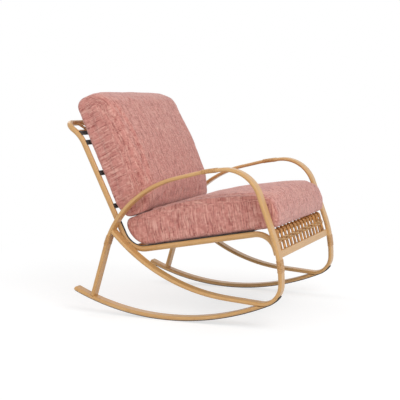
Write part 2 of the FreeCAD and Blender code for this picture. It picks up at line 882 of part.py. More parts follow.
# Woven apron and top panel.
def front_cross_centre():
    """The front cross tube lies on the outside of the two waterfall bends."""
    reach = front_bend.radius + half_rail + mm.front_cross_round / 2
    angle = front_bend.begin + front_bend.sweep * CROSS_TURN_SHARE
    return front_bend.centre + Vector(math.cos(angle), math.sin(angle), 0) * reach


def apron_line():
    """A strand's middle line: over the front cross tube, then straight down to the bar's top."""
    centre = front_cross_centre()
    radius = (mm.front_cross_round + mm.strand_round) / 2
    landing = bar_centre + bar_up * (mm.bar_tall / 2) - bar_rear * (mm.bar_deep * LANDING_SHARE)
    reach = landing - centre
    slant = math.asin(radius / reach.Length)
    leave = math.atan2(reach.y, reach.x) + slant + math.pi * 1.5
    leave = leave % (2 * math.pi)
    begin = STRAND_BEGIN_SHARE * QUARTER
    wrapped = Bend(centre, radius, begin, leave - begin)
    return Path([wrapped, Run(wrapped.at(wrapped.length), landing)])


def top_panel_line(cross_centre):
    """A strand's middle line: over the upper cross tube and up to the underside of the top rail."""
    radius = (mm.back_cross_round + mm.strand_round) / 2
    reach = top_rail_point - cross_centre
    angle = math.atan2(reach.y, reach.x) - math.asin(radius / reach.Length)
    along = Vector(math.cos(angle), math.sin(angle), 0)
    touch = cross_centre + turned_left(along) * radius
    end = top_rail_point - along * (half_rail + mm.fit_gap)
    return Path([Run(touch - along * (mm.strand_round / 2), end)])


def strand_count(margin):
    """How many pairs stand between the two seat tubes, with this much left free at each side."""
    room = 2 * (rail_x - margin)
    return int(room // mm.strand_pitch) + 1


def strand_pairs(label, path, count, name="strand"):
    """Pairs of strands side by side, repeated across the chair."""
    made = []
    for shift in (-1, 1):
        body = new_body(name)
        body.AllowCompound = True
        spine = side_plane(body, "line", [stretch.edge() for stretch in path.stretches])
        outside = ring_profile(body, "outside", start_of(path), mm.strand_round / 2, INSIDE_FACETS)
        strand = pipe(body, "strand", spine, outside)
        doc.recompute()
        pattern = body.newObject("PartDesign::LinearPattern", "row")
        pattern.Originals = [strand]
        axis = [item for item in body.Origin.OriginFeatures if item.Role == "X_Axis"][0]
        pattern.Direction = (axis, [""])
        pattern.Occurrences = count
        pattern.setExpression("Length", f"{count - 1} * Sizes.strand_pitch")
        body.Tip = pattern
        sign = "+" if shift > 0 else "-"
        half_row = f"{count - 1} * Sizes.strand_pitch / 2"
        body.setExpression("Placement.Base.x", f"{sign} Sizes.strand_apart / 2 - {half_row}")
        made.append(body)
    return keep(together(f"{label}_group", made), label)


def mitred(points, offset):
    """The corner points moved aside, so that every run between them keeps its distance."""
    moved = []
    for i, point in enumerate(points):
        before = (point - points[i - 1]).normalize() if i > 0 else None
        after = (points[i + 1] - point).normalize() if i < len(points) - 1 else None
        first_side = turned_left(before or after)
        last_side = turned_left(after or before)
        middle = (first_side + last_side).normalize()
        moved.append(point + middle * (offset / middle.dot(first_side)))
    return moved


def twine_line(row, pairs):
    """A twine's zigzag: in front of one pair of strands and behind the next."""
    swing = (mm.strand_round + mm.twine_thick) / 2 + mm.fit_gap
    half = mm.strand_apart / 2 + mm.strand_round / 4
    first = -(pairs - 1) * mm.strand_pitch / 2
    last = -first
    points = [Vector(first - mm.strand_pitch / 2, 0, 0)]
    for i in range(pairs):
        across = first + i * mm.strand_pitch
        ahead = swing if (i + row) % 2 == 0 else -swing
        points += [Vector(across - half, ahead, 0), Vector(across + half, ahead, 0)]
    return points + [Vector(last + mm.strand_pitch / 2, 0, 0)]


def twined_rows(label, path, high, rows, pairs):
    """Flat strips woven across the strands, row over row."""
    made = []
    for row in range(rows):
        at = path.length - high + (row - (rows - 1) / 2) * mm.twine_step
        centre = into_space(path.at(at))
        down = into_space(path.heading(at))
        front = down.cross(ACROSS)
        body = new_body("twine")
        place = Placement(centre, Rotation(ACROSS, front, ACROSS.cross(front), "ZXY"))
        line = twine_line(row, pairs)
        corners = mitred(line, mm.twine_thick / 2) + list(reversed(mitred(line, -mm.twine_thick / 2)))
        strip = corner_profile(body, "zigzag", place, corners)
        pad(body, "twine", strip, "Sizes.twine_wide")
        made.append(body)
    return keep(together(f"{label}_group", made), label)


# Joint hardware.
def joint_bolts():
    """Socket-head bolts from inside, through each seat rail into a threaded insert in the side tube."""
    made = []
    for side in (-1, 1):
        for at in (rear_joint, bow_joint):
            body = new_body("bolt")
            shank = new_sketch(body, "shank_ring", "XY_Plane")
            shank.addGeometry(Part.Circle(Vector(0, 0, 0), UP, mm.bolt_round / 2))
            bind(shank, "radius", Sketcher.Constraint("Radius", 0, mm.bolt_round / 2), "Sizes.bolt_round / 2")
            pad(body, "shank", shank, "Sizes.rail_round + Sizes.rail_gap + Sizes.nut_long", middle=False)
            head = new_sketch(body, "head_ring", "XY_Plane")
            radius = mm.bolt_head_round / 2
            head.addGeometry(Part.Circle(Vector(0, 0, 0), UP, radius))
            bind(head, "radius", Sketcher.Constraint("Radius", 0, radius), "Sizes.bolt_head_round / 2")
            button = pad(body, "head", head, "Sizes.bolt_head_tall", middle=False)
            button.Reversed = True
            socket = new_sketch(body, "socket_outline", "XY_Plane",
                                Placement(Vector(0, 0, -mm.bolt_head_tall), Rotation()))
            reach = mm.socket_wide / math.sqrt(3)
            turns = [i * math.pi / 3 for i in range(6)]
            corners = [Vector(math.cos(turn), math.sin(turn), 0) * reach for turn in turns]
            socket.addGeometry([Part.LineSegment(corners[i], corners[(i + 1) % 6]) for i in range(6)])
            doc.recompute()
            before = body.Tip.Shape.Volume
            recess = body.newObject("PartDesign::Pocket", "socket")
            recess.Profile = socket
            recess.setExpression("Length", "Sizes.socket_deep")
            recess.Reversed = True
            doc.recompute()
            if recess.Shape.Volume >= before:
                raise RuntimeError("the bolt's socket misses")
            body.Placement = Placement(Vector(side * (rail_x - half_rail), at.x, at.y),
                                       Rotation(UP, ACROSS * side))
            made.append(body)
    return keep(together("joint_bolts_group", made), "joint_bolts")


def threaded_inserts():
    """Inserts set in the side tubes' inner edges, whose flanges hold the seat tubes off them."""
    made = []
    for side in (-1, 1):
        for at in (rear_joint, bow_joint):
            body = new_body("insert")
            seat = rail_x + half_rail + mm.rail_gap - mm.nut_flange_thick
            for name, outer, long in (("flange", "nut_flange_round", "Sizes.nut_flange_thick"),
                                      ("barrel", "nut_round", "Sizes.nut_long")):
                ring = ring_profile(body, f"{name}_ring", Placement(), getattr(mm, outer) / 2, INSIDE_FACETS)
                ring.addGeometry(Part.Circle(Vector(0, 0, 0), UP, mm.bolt_round / 2))
                bind(ring, "bore", Sketcher.Constraint("Radius", ring.GeometryCount - 1, mm.bolt_round / 2),
                     "Sizes.bolt_round / 2")
                pad(body, name, ring, long, middle=False)
            body.Placement = Placement(Vector(side * seat, at.x, at.y), Rotation(UP, ACROSS * side))
            made.append(body)
    return keep(together("threaded_inserts_group", made), "threaded_inserts")


# Cushions.
# Corner points as shares of the cushion's length and thickness, then the rounding.
SEAT_SIDE_SHARES = [
    (0.000, 0.000, 1.45), (1.006, 0.000, 0.55), (1.022, 0.300, 0.50), (1.000, 0.720, 0.80),
    (0.900, 0.850, 0.50), (0.470, 0.985, 0.50), (0.150, 0.865, 0.50), (-0.030, 0.735, 0.50),
]
SEAT_MIDDLE_SHARES = [
    (0.000, 0.000, 1.45), (1.012, 0.000, 0.55), (1.030, 0.400, 0.50), (1.000, 0.920, 0.98),
    (0.830, 0.995, 0.50), (0.470, 1.030, 0.50), (0.150, 0.870, 0.50), (-0.030, 0.735, 0.50),
]
BACK_SIDE_SHARES = [
    (0.127, 0.030, 0.70), (0.020, 0.180, 0.50), (0.000, 0.780, 0.60), (0.200, 1.000, 0.50),
    (0.500, 1.060, 0.50), (0.925, 1.000, 0.60), (1.020, 0.720, 0.70), (1.035, 0.125, 0.80),
    (0.560, 0.080, 0.50),
]
BACK_MIDDLE_SHARES = [
    (0.127, 0.000, 0.70), (0.020, 0.180, 0.50), (0.000, 0.850, 0.60), (0.200, 1.130, 0.50),
    (0.500, 1.200, 0.50), (0.935, 1.120, 0.60), (1.035, 0.790, 0.70), (1.050, 0.090, 0.80),
    (0.560, 0.000, 0.50),
]
# Stations across a cushion, up to its side: share of its half width, share of the crown that
# is reached there, and how far the outline is drawn in, as a share of the thickness.
SEAT_STATION_SHARES = [
    (0.450, 0.90, 0.0), (0.800, 0.55, 0.0), (0.950, 0.10, 0.010), (0.985, 0.00, 0.050), (1.000, 0.00, 0.120),
]
BACK_STATION_SHARES = [
    (0.450, 0.95, 0.0), (0.820, 0.75, 0.0), (0.950, 0.35, 0.010), (0.985, 0.05, 0.045), (1.000, 0.00, 0.110),
]


HALF_CUSHION_WORDS = "(Sizes.frame_wide - Sizes.flat_wide) / 2 - Sizes.cushion_side_gap"


def cushion(label, corner, long_way, thick_way, long, thick, side_shares, middle_shares, half):
    """A boxed cushion: sections across it, crowned in the middle and drawn in at the sides."""
    body = new_body(label)
    half_wide = (mm.frame_wide - mm.flat_wide) / 2 - mm.cushion_side_gap
    sections = []
    other_half = [(-across, crown, drawn) for across, crown, drawn in reversed(half)]
    for number, (across, crown, drawn) in enumerate(other_half + [(0.0, 1.0, 0.0)] + half):
        points = []
        for (a0, h0, _), (a1, h1, _) in zip(side_shares, middle_shares):
            a = a0 + (a1 - a0) * crown
            h = h0 + (h1 - h0) * crown
            points.append(Vector(a * long, h * thick, 0))
        centre = sum(points, Vector()) / len(points)
        inset = drawn * thick
        half_long = long / 2
        half_thick = thick / 2
        placed = []
        for point in points:
            away = point - centre
            drawn_in = Vector(away.x * (1 - inset / half_long), away.y * (1 - inset / half_thick), 0)
            place = centre + drawn_in
            placed.append(corner + long_way * place.x + thick_way * place.y)
        turn = [share for _, _, share in side_shares]
        if long_way.x * thick_way.y - long_way.y * thick_way.x < 0:
            placed.reverse()
            turn.reverse()
        sketch = side_plane(body, f"section_{number}", rounded_outline(placed, turn), across * half_wide)
        sketch.setExpression("AttachmentOffset.Base.z", f"{across} * ({HALF_CUSHION_WORDS})")
        sections.append(sketch)
    loft = body.newObject("PartDesign::AdditiveLoft", "stuffing")
    loft.Profile = sections[0]
    loft.Sections = sections[1:]
    loft.Ruled = True
    return keep(body, label)


def seat_cushion_place():
    """The seat cushion's lower rear corner and its length, on the sling and against the bend."""
    lift = half_rail + mm.sling_thick + mm.cushion_gap
    bend = math.acos(forward.dot(back_up))
    along = lift / math.tan(bend / 2)
    return seat_corner + seat_up * lift + forward * along, mm.seat_cushion_long - along


def seat_cushion():
    corner, long = seat_cushion_place()
    return cushion("seat_cushion", corner, forward, seat_up, long, mm.seat_cushion_thick,
                   SEAT_SIDE_SHARES, SEAT_MIDDLE_SHARES, SEAT_STATION_SHARES)


def back_cushion():
    """Stands on the rear slope of the seat cushion's top and leans on the straps."""
    lift = half_rail + max(mm.strap_thick, mm.sling_thick) + mm.cushion_gap
    base = seat_corner + back_front * lift
    corner, long = seat_cushion_place()
    slope = []
    for a, h, _ in (SEAT_MIDDLE_SHARES[-1], SEAT_MIDDLE_SHARES[-2]):
        point = corner + forward * (a * long) + seat_up * (h * mm.seat_cushion_thick) - base
        slope.append((point.dot(back_front), point.dot(back_up)))
    (rear_out, rear_up), (front_out, front_up) = slope
    climb = (front_up - rear_up) / (front_out - rear_out)
    rise = max(rear_up + climb * (h * mm.back_cushion_thick - rear_out) - a * mm.back_cushion_long
               for a, h, _ in BACK_MIDDLE_SHARES[1:3])
    return cushion("back_cushion", base + back_up * (rise + mm.cushion_gap), back_up, back_front,
                   mm.back_cushion_long, mm.back_cushion_thick,
                   BACK_SIDE_SHARES, BACK_MIDDLE_SHARES, BACK_STATION_SHARES)


# The chair.

for side in (-1, 1):
    word = side_words(side)[0]
    rear_strut(side)
    rear_arm_tube(side)
    front_arm_tube(side)
    bow_tube(side)
    rocker(side)
    rocker_cap(side)
    glide(side)
    for name, middle, long in (("arm_wrap", arm_splice, mm.arm_wrap_long),
                               ("leg_wrap", leg_splice, mm.leg_wrap_long),
                               ("strut_wrap", strut_splice, mm.strut_wrap_long)):
        keep(wrap(name, side, middle, long), f"{word}_{name}")
    side_rail(side)
    edge_strip(side)

splice_sleeves()
top_rail()
front_bar()
forms = [filled_rail(side) for side in (-1, 1)]
upper_at = rail.where("z", height(UPPER_TUBE_SHARE), high=back_start)
rear_at = back_start + back_run.length + seat_bend.length * REAR_TUBE_SHARE
for label, centre, round_name in (("upper_back_tube", rail.at(upper_at), "back_cross_round"),
                                  ("rear_cross_tube", rail.at(rear_at), "rear_cross_round")):
    tube = cross_tube(f"{label}_blank", centre, round_name)
    for form in forms:
        tube = less(f"{label}_end", tube, form)
    keep(tube, label)
keep(cross_tube("front_cross_tube", front_cross_centre(), "front_cross_round"), "front_cross_tube")

seat_sling()
for number, share in enumerate(STRAP_SHARES, start=1):
    back_strap(number, share)

apron_pairs = strand_count(mm.strand_margin)
strand_pairs("apron_strands", apron_line(), apron_pairs)
twined_rows("apron_twine", apron_line(), mm.twine_high, 3, apron_pairs)

top_pairs = strand_count(mm.corner_bend + mm.strand_round)
strand_pairs("top_panel_strands", top_panel_line(rail.at(upper_at)), top_pairs, "top_strand")
joint_bolts()
threaded_inserts()
seat_cushion()
back_cushion()

doc.recompute()
for item in doc.Objects:
    if "Invalid" in item.State or "Error" in item.State:
        raise RuntimeError(f"{item.Name} ({item.Label}) failed: {item.State}")
os.makedirs("parts", exist_ok=True)
for item in NODES:
    shape = item.Shape
    if shape.isNull() or not shape.isValid() or not shape.Solids:
        raise RuntimeError(f"{item.Label} has no valid solid")
    shape.exportStep(os.path.join("parts", f"{item.Label}.step"))
    box = shape.BoundBox
    print(f"{item.Label:24s} {len(shape.Solids):3d} {shape.Volume / 1000:9.1f} cm3 "
          f"x {box.XMin:7.1f} {box.XMax:7.1f} y {box.YMin:7.1f} {box.YMax:7.1f} z {box.ZMin:6.1f} {box.ZMax:6.1f}")
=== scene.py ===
import json
import math

import bmesh
import bpy
from bpy.props import FloatProperty, FloatVectorProperty, IntProperty, PointerProperty
from mathutils import Euler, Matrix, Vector, noise
from mathutils.bvhtree import BVHTree


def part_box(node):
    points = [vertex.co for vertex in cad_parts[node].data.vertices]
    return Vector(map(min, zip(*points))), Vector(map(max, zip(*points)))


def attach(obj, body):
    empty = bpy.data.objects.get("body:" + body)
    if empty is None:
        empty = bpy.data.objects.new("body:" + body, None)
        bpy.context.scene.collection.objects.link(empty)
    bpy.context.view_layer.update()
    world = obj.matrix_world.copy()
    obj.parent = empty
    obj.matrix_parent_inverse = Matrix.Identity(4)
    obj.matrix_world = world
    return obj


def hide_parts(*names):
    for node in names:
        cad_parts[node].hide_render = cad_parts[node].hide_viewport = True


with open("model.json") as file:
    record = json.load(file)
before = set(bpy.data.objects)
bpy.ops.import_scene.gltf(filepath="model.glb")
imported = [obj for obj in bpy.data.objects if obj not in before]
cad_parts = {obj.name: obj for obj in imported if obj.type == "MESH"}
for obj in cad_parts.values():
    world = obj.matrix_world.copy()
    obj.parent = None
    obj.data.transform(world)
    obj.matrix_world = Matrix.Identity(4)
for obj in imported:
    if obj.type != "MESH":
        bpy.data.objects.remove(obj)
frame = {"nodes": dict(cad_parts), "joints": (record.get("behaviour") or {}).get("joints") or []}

bl_info = {
    "name": "Outdoor rocking lounge chair",
    "version": (1, 0, 0),
    "blender": (4, 5, 0),
    "location": "3D View > Sidebar > Rocker",
    "description": "Dresses the packed chair: grained tubes, woven apron, bindings, webbing and cushions",
    "category": "Object",
}

NODES = frame["nodes"]
FRAME_BODY = "chair_frame"
SIDE_TUBES = ("strut", "rear_arm_tube", "front_arm_tube", "bow_tube", "rocker", "rocker_cap", "seat_rail")
ACROSS = Vector((1, 0, 0))
# The lamps are turned to this place, in the middle of the chair.
LIT_PLACE = Vector((0, 0, 0.4))
# Fabric on a cushion's free sides may stand this far proud of its solid.
PROUD = 0.005


# Colours and sizes

def linear(red, green, blue):
    """A colour as it is seen, from 0 to 255, as the linear values that a shader takes."""
    def one(value):
        value = value / 255
        return value / 12.92 if value <= 0.04045 else ((value + 0.055) / 1.055) ** 2.4
    return one(red), one(green), one(blue)


def colour(label, about, seen):
    """A colour setting, given as it is seen."""
    return FloatVectorProperty(name=label, description=about, subtype="COLOR", size=3, min=0, max=1,
                               default=linear(*seen))


def length(label, about, metres):
    """A length setting in metres."""
    return FloatProperty(name=label, description=about, default=metres, unit="LENGTH", precision=4)


class FrameFinish(bpy.types.PropertyGroup):
    """The painted tubes."""
    honey: colour("Honey", "Ground colour of the wood-toned tubes", (202, 156, 98))
    pale: colour("Pale grain", "Lighter streaks along the tubes", (217, 177, 122))
    tan: colour("Dark grain", "Darker streaks along the tubes", (168, 116, 62))
    glide: colour("Glide", "Wear strips under the runners", (34, 31, 30))


class WeaveFinish(bpy.types.PropertyGroup):
    """The woven apron, the panel at the top of the back and the bindings."""
    strand: colour("Strand", "Ground colour of the round strands", (206, 146, 78))
    strand_dark: colour("Strand shade", "Darker streaks of the strands", (98, 56, 22))
    twine: colour("Twine", "Flat strips twined across the strands", (204, 160, 102))
    twine_dark: colour("Twine shade", "Darker streaks of the twined strips", (140, 96, 50))
    binding: colour("Binding", "Strips wound round the splices", (204, 158, 103))
    strand_round: length("Strand", "Diameter of a strand", 0.0076)
    pair_apart: length("Pair", "Distance between the two strands of a pair", 0.0095)
    strip_wide: length("Strip width", "Width of a twined strip", 0.0056)
    strip_thick: length("Strip thickness", "Thickness of a twined strip", 0.0026)
    tube_thick: length("Tube", "Thickness of the flat tube under a binding", 0.014)
    turn_wide: length("Turn width", "Width of one turn of a binding", 0.0062)
    turn_thick: length("Turn thickness", "Thickness of one turn of a binding", 0.0016)


class ClothFinish(bpy.types.PropertyGroup):
    """The cushions' fabric, the sling and the straps."""
    rose: colour("Rose", "Ground colour of the cushions", (203, 136, 126))
    rose_pale: colour("Rose, pale thread", "Lighter slubs", (231, 179, 164))
    rose_deep: colour("Rose, deep thread", "Darker slubs", (152, 80, 72))
    webbing: colour("Webbing", "Sling and straps", (30, 27, 26))
    voxel: length("Voxel", "Size of the cushions' faces before they are smoothed", 0.0065)
    edge_round: length("Edge", "Rounding left where the boxing meets the panels", 0.004)
    swell: length("Swell", "How far the filling may move the cover", 0.010)
    sink: length("Sink", "How far the cover may draw in at its corners", 0.001)
    seam_in: length("Seam place", "Distance of the rear boxing seams from the cushion's sides", 0.009)
    seat_drop: length("Seat seam", "How far the seat's upper seam lies below its edge", 0.012)
    back_drop: length("Back seam", "How far the back's front seam lies behind its edge", 0.042)
    seam_deep: length("Seam depth", "Depth of the boxing seams", 0.0022)
    seam_wide: length("Seam width", "Width of the boxing seams", 0.0036)
    frames: IntProperty(name="Frames", description="Frames that the filling is simulated for", default=20)


# Node trees

def wire(tree, node, name, value):
    """Sets an input by its name or number, or joins an output to it."""
    socket = node.inputs[name]
    if isinstance(value, bpy.types.NodeSocket):
        tree.links.new(value, socket)
    else:
        socket.default_value = value


def add(tree, kind, inputs=None, **settings):
    """A new node with its settings made and its inputs set or joined."""
    node = tree.nodes.new(kind)
    for name, value in settings.items():
        setattr(node, name, value)
    for name, value in (inputs or {}).items():
        wire(tree, node, name, value)
    return node


def math_node(tree, operation, one, other=0.0):
    """The outcome of one operation on one or two values."""
    return add(tree, "ShaderNodeMath", {0: one, 1: other}, operation=operation).outputs[0]


def mix_colour(tree, factor, one, other):
    """Goes from one colour to the other as the factor goes from 0 to 1."""
    node = add(tree, "ShaderNodeMix", data_type="RGBA", blend_type="MIX")
    wire(tree, node, 0, factor)
    wire(tree, node, 6, one)
    wire(tree, node, 7, other)
    return node.outputs[2]


def ramp(tree, factor, low, high):
    """Takes low to 0 and high to 1, and holds what lies beyond."""
    node = add(tree, "ShaderNodeMapRange", {"Value": factor, "From Min": low, "From Max": high})
    return node.outputs["Result"]


def rgba(values):
    """A colour with full opacity."""
    return (*values, 1.0)


def seen_directly(tree):
    """One for rays from the camera, and for reflections and what shows through; nought for lighting."""
    light = add(tree, "ShaderNodeLightPath").outputs
    seen = math_node(tree, "MAXIMUM", light["Is Camera Ray"], light["Is Glossy Ray"])
    return math_node(tree, "MAXIMUM", seen, light["Is Transmission Ray"])


def effect(name, inputs, outputs):
    """A shared shader effect with named inputs and outputs."""
    tree = bpy.data.node_groups.new(name, "ShaderNodeTree")
    for label, kind, value in inputs:
        socket = tree.interface.new_socket(label, in_out="INPUT", socket_type=kind)
        if value is not None:
            socket.default_value = value
    for label, kind in outputs:
        tree.interface.new_socket(label, in_out="OUTPUT", socket_type=kind)
    return tree, tree.nodes.new("NodeGroupInput").outputs, tree.nodes.new("NodeGroupOutput")


def grain_effect():
    """Long brushed streaks: the vector's first value runs across them and its last along them."""
    tree, given, out = effect(
        "long_grain",
        [("Vector", "NodeSocketVector", None), ("Ground", "NodeSocketColor", None),
         ("Pale", "NodeSocketColor", None), ("Dark", "NodeSocketColor", None)],
        [("Colour", "NodeSocketColor"), ("Height", "NodeSocketFloat")])
    broad = add(tree, "ShaderNodeTexNoise", {"Vector": given["Vector"], "Scale": 1.0, "Detail": 4.0,
                                             "Roughness": 0.62, "Distortion": 0.25})
    fine = add(tree, "ShaderNodeTexNoise", {"Vector": given["Vector"], "Scale": 3.7, "Detail": 3.0,
                                            "Roughness": 0.7})
    pale = ramp(tree, broad.outputs["Fac"], 0.48, 0.72)
    dark = ramp(tree, fine.outputs["Fac"], 0.52, 0.78)
    streaked = mix_colour(tree, math_node(tree, "MULTIPLY", pale, 0.75), given["Ground"], given["Pale"])
    toned = mix_colour(tree, math_node(tree, "MULTIPLY", dark, 0.6), streaked, given["Dark"])
    tree.links.new(toned, out.inputs["Colour"])
    tree.links.new(math_node(tree, "ADD", broad.outputs["Fac"], fine.outputs["Fac"]), out.inputs["Height"])


def plain_weave(tree, one, other, turns):
    """Height of two sets of threads that cross, from two places in metres."""
    warp = math_node(tree, "SINE", math_node(tree, "MULTIPLY", one, turns))
    weft = math_node(tree, "SINE", math_node(tree, "MULTIPLY", other, turns))
    return math_node(tree, "MULTIPLY", warp, weft)


def weave_effect():
    """A slubbed plain weave in metres: thick and thin threads along the second value."""
    tree, given, out = effect(
        "slubbed_weave",
        [("Vector", "NodeSocketVector", None), ("Ground", "NodeSocketColor", None),
         ("Pale", "NodeSocketColor", None), ("Deep", "NodeSocketColor", None),
         ("Thread", "NodeSocketFloat", 0.0021)],
        [("Colour", "NodeSocketColor"), ("Height", "NodeSocketFloat")])
    parts = add(tree, "ShaderNodeSeparateXYZ", {0: given["Vector"]}).outputs
    threads = plain_weave(tree, parts[0], parts[1], math_node(tree, "DIVIDE", math.tau, given["Thread"]))

    def slubs(way, wide, stretch, seed, low, high):
        """Each thread has its own thick and thin stretches along its length."""
        number = math_node(tree, "FLOOR", math_node(tree, "DIVIDE", parts[way], wide))
        apart = 7.3
        place = add(tree, "ShaderNodeCombineXYZ",
                    {0: math_node(tree, "MULTIPLY", number, apart),
                     1: math_node(tree, "MULTIPLY", parts[1 - way], stretch), 2: seed}).outputs[0]
        texture = add(tree, "ShaderNodeTexNoise", {"Vector": place, "Scale": 1.0, "Detail": 1.5,
                                                   "Roughness": 0.6})
        return ramp(tree, texture.outputs["Fac"], low, high)

    pale = slubs(way=0, wide=0.0038, stretch=30.0, seed=1.0, low=0.50, high=0.66)
    deep = slubs(way=0, wide=0.0031, stretch=24.0, seed=5.0, low=0.50, high=0.66)
    crossing = slubs(way=1, wide=0.0036, stretch=55.0, seed=9.0, low=0.48, high=0.68)
    sunken = slubs(way=1, wide=0.0042, stretch=40.0, seed=13.0, low=0.50, high=0.70)
    tone = given["Ground"]
    for part, share, toward in ((deep, 0.88, "Deep"), (pale, 0.74, "Pale"), (crossing, 0.42, "Pale"),
                                (sunken, 0.38, "Deep")):
        tone = mix_colour(tree, math_node(tree, "MULTIPLY", part, share), tone, given[toward])
    tree.links.new(tone, out.inputs["Colour"])
    height = math_node(tree, "ADD", math_node(tree, "MULTIPLY", threads, 0.35), pale)
    tree.links.new(math_node(tree, "SUBTRACT", height, math_node(tree, "MULTIPLY", deep, 0.6)),
                   out.inputs["Height"])


def surface(name, base, roughness, **constants):
    """A material with one Principled shader; constants stand on the shader's own sockets."""
    material = bpy.data.materials.new(name)
    material.use_nodes = True
    tree = material.node_tree
    tree.nodes.clear()
    out = tree.nodes.new("ShaderNodeOutputMaterial")
    shader = add(tree, "ShaderNodeBsdfPrincipled", {"Base Color": rgba(base), "Roughness": roughness})
    for label, value in constants.items():
        shader.inputs[label.replace("_", " ")].default_value = value
    tree.links.new(shader.outputs[0], out.inputs["Surface"])
    return material, tree, shader


def bumped(tree, shader, height, strength, distance):
    """Fine relief in a material, too small for the mesh."""
    bump = add(tree, "ShaderNodeBump", {"Height": height, "Strength": strength, "Distance": distance})
    tree.links.new(bump.outputs["Normal"], shader.inputs["Normal"])


def stretched(tree, scale):
    """Object coordinates, scaled so that a pattern is short one way and long another."""
    place = add(tree, "ShaderNodeTexCoord").outputs["Object"]
    return add(tree, "ShaderNodeMapping", {"Vector": place, "Scale": scale}).outputs[0]


def grained_paint(name, scale, ground, pale, dark):
    """Wood-toned paint on metal tube, under a thin clear coat."""
    _, tree, shader = surface(name, ground, 0.36, Coat_Weight=0.12, Coat_Roughness=0.25)
    group = add(tree, "ShaderNodeGroup", node_tree=bpy.data.node_groups["long_grain"])
    wire(tree, group, "Vector", stretched(tree, scale))
    for label, value in (("Ground", ground), ("Pale", pale), ("Dark", dark)):
        group.inputs[label].default_value = rgba(value)
    tree.links.new(group.outputs["Colour"], shader.inputs["Base Color"])
    bumped(tree, shader, group.outputs["Height"], 0.25, 0.0004)


def resin(name, ground, dark, scale):
    """Extruded strand with fine streaks along it."""
    _, tree, shader = surface(name, ground, 0.42)
    streaks = add(tree, "ShaderNodeTexNoise", {"Vector": stretched(tree, scale), "Scale": 1.0,
                                               "Detail": 4.0, "Roughness": 0.65})
    shade = ramp(tree, streaks.outputs["Fac"], 0.42, 0.68)
    toned = mix_colour(tree, shade, rgba(ground), rgba(dark))
    tree.links.new(toned, shader.inputs["Base Color"])
    bumped(tree, shader, streaks.outputs["Fac"], 0.35, 0.0005)


def rubber(name, base):
    """Dull rubber with fine pits."""
    _, tree, shader = surface(name, base, 0.62)
    pits = add(tree, "ShaderNodeTexNoise", {"Vector": stretched(tree, (1, 1, 1)), "Scale": 900.0})
    worn = mix_colour(tree, ramp(tree, pits.outputs["Fac"], 0.45, 0.8), rgba(base),
                      rgba([value * 2.2 for value in base]))
    tree.links.new(worn, shader.inputs["Base Color"])
    bumped(tree, shader, pits.outputs["Fac"], 0.3, 0.0003)


def steel(name):
    """Plain steel, lightly brushed."""
    _, tree, shader = surface(name, (0.52, 0.52, 0.53), 0.32, Metallic=1.0)
    brushed = add(tree, "ShaderNodeTexNoise", {"Vector": stretched(tree, (90, 1400, 1400)), "Scale": 1.0})
    tree.links.new(ramp(tree, brushed.outputs["Fac"], -0.6, 2.2), shader.inputs["Roughness"])
    bumped(tree, shader, brushed.outputs["Fac"], 0.1, 0.0002)


def webbing_cloth(name, base):
    """Tight basket weave of the sling and the straps, with a painted highlight on the thread crowns."""
    _, tree, shader = surface(name, base, 0.85, Sheen_Weight=0.2)
    parts = add(tree, "ShaderNodeSeparateXYZ", {0: stretched(tree, (1, 1, 1))}).outputs
    thread = 0.0018
    threads = plain_weave(tree, parts[0], math_node(tree, "ADD", parts[1], parts[2]), math.tau / thread)
    # Painted highlight: the thread crowns are painted lighter than the hollows between them, following the
    # weave's relief.
    crown_highlight = rgba([value * 2.6 for value in base])
    toned = mix_colour(tree, ramp(tree, threads, -1.0, 1.0), rgba(base), crown_highlight)
    tree.links.new(toned, shader.inputs["Base Color"])
    bumped(tree, shader, threads, 0.6, 0.0004)


def cushion_cloth(name, finish):
    """The cushions' slubbed cloth, on their own map."""
    _, tree, shader = surface(name, finish.rose, 0.9, Sheen_Weight=0.35, Sheen_Roughness=0.5,
                              Specular_IOR_Level=0.2)
    group = add(tree, "ShaderNodeGroup", node_tree=bpy.data.node_groups["slubbed_weave"])
    place = add(tree, "ShaderNodeUVMap", uv_map="weave").outputs["UV"]
    wire(tree, group, "Vector", place)
    for label, value in (("Ground", finish.rose), ("Pale", finish.rose_pale), ("Deep", finish.rose_deep)):
        group.inputs[label].default_value = rgba(value)
    tree.links.new(group.outputs["Colour"], shader.inputs["Base Color"])
    bumped(tree, shader, group.outputs["Height"], 0.55, 0.0009)


# Geometry

def new_object(name, data):
    """An object at the origin, in the scene."""
    piece = bpy.data.objects.new(name, data)
    bpy.context.scene.collection.objects.link(piece)
    return piece


def dress(name, material):
    """Gives every slot of a carried-over piece its finish."""
    piece = NODES[name]
    if not piece.data.materials:
        piece.data.materials.append(material)
    for slot in piece.material_slots:
        slot.material = material


def geometry_group(name, inputs):
    """A geometry group that takes a line, the named inputs and a material."""
    tree = bpy.data.node_groups.new(name, "GeometryNodeTree")
    tree.is_modifier = True
    tree.interface.new_socket("Geometry", in_out="INPUT", socket_type="NodeSocketGeometry")
    for label, kind, value in inputs:
        socket = tree.interface.new_socket(label, in_out="INPUT", socket_type=kind)
        if value is not None:
            socket.default_value = value
    tree.interface.new_socket("Material", in_out="INPUT", socket_type="NodeSocketMaterial")
    tree.interface.new_socket("Geometry", in_out="OUTPUT", socket_type="NodeSocketGeometry")
    return tree, tree.nodes.new("NodeGroupInput").outputs


def realized(tree, copies, given):
    """Ends a geometry group: real, smooth copies in the given material."""
    solid = add(tree, "GeometryNodeRealizeInstances", {0: copies.outputs[0]})
    smooth = add(tree, "GeometryNodeSetShadeSmooth", {"Geometry": solid.outputs[0]})
    made = add(tree, "GeometryNodeSetMaterial",
               {"Geometry": smooth.outputs[0], "Material": given["Material"]})
    add(tree, "NodeGroupOutput", {"Geometry": made.outputs[0]})


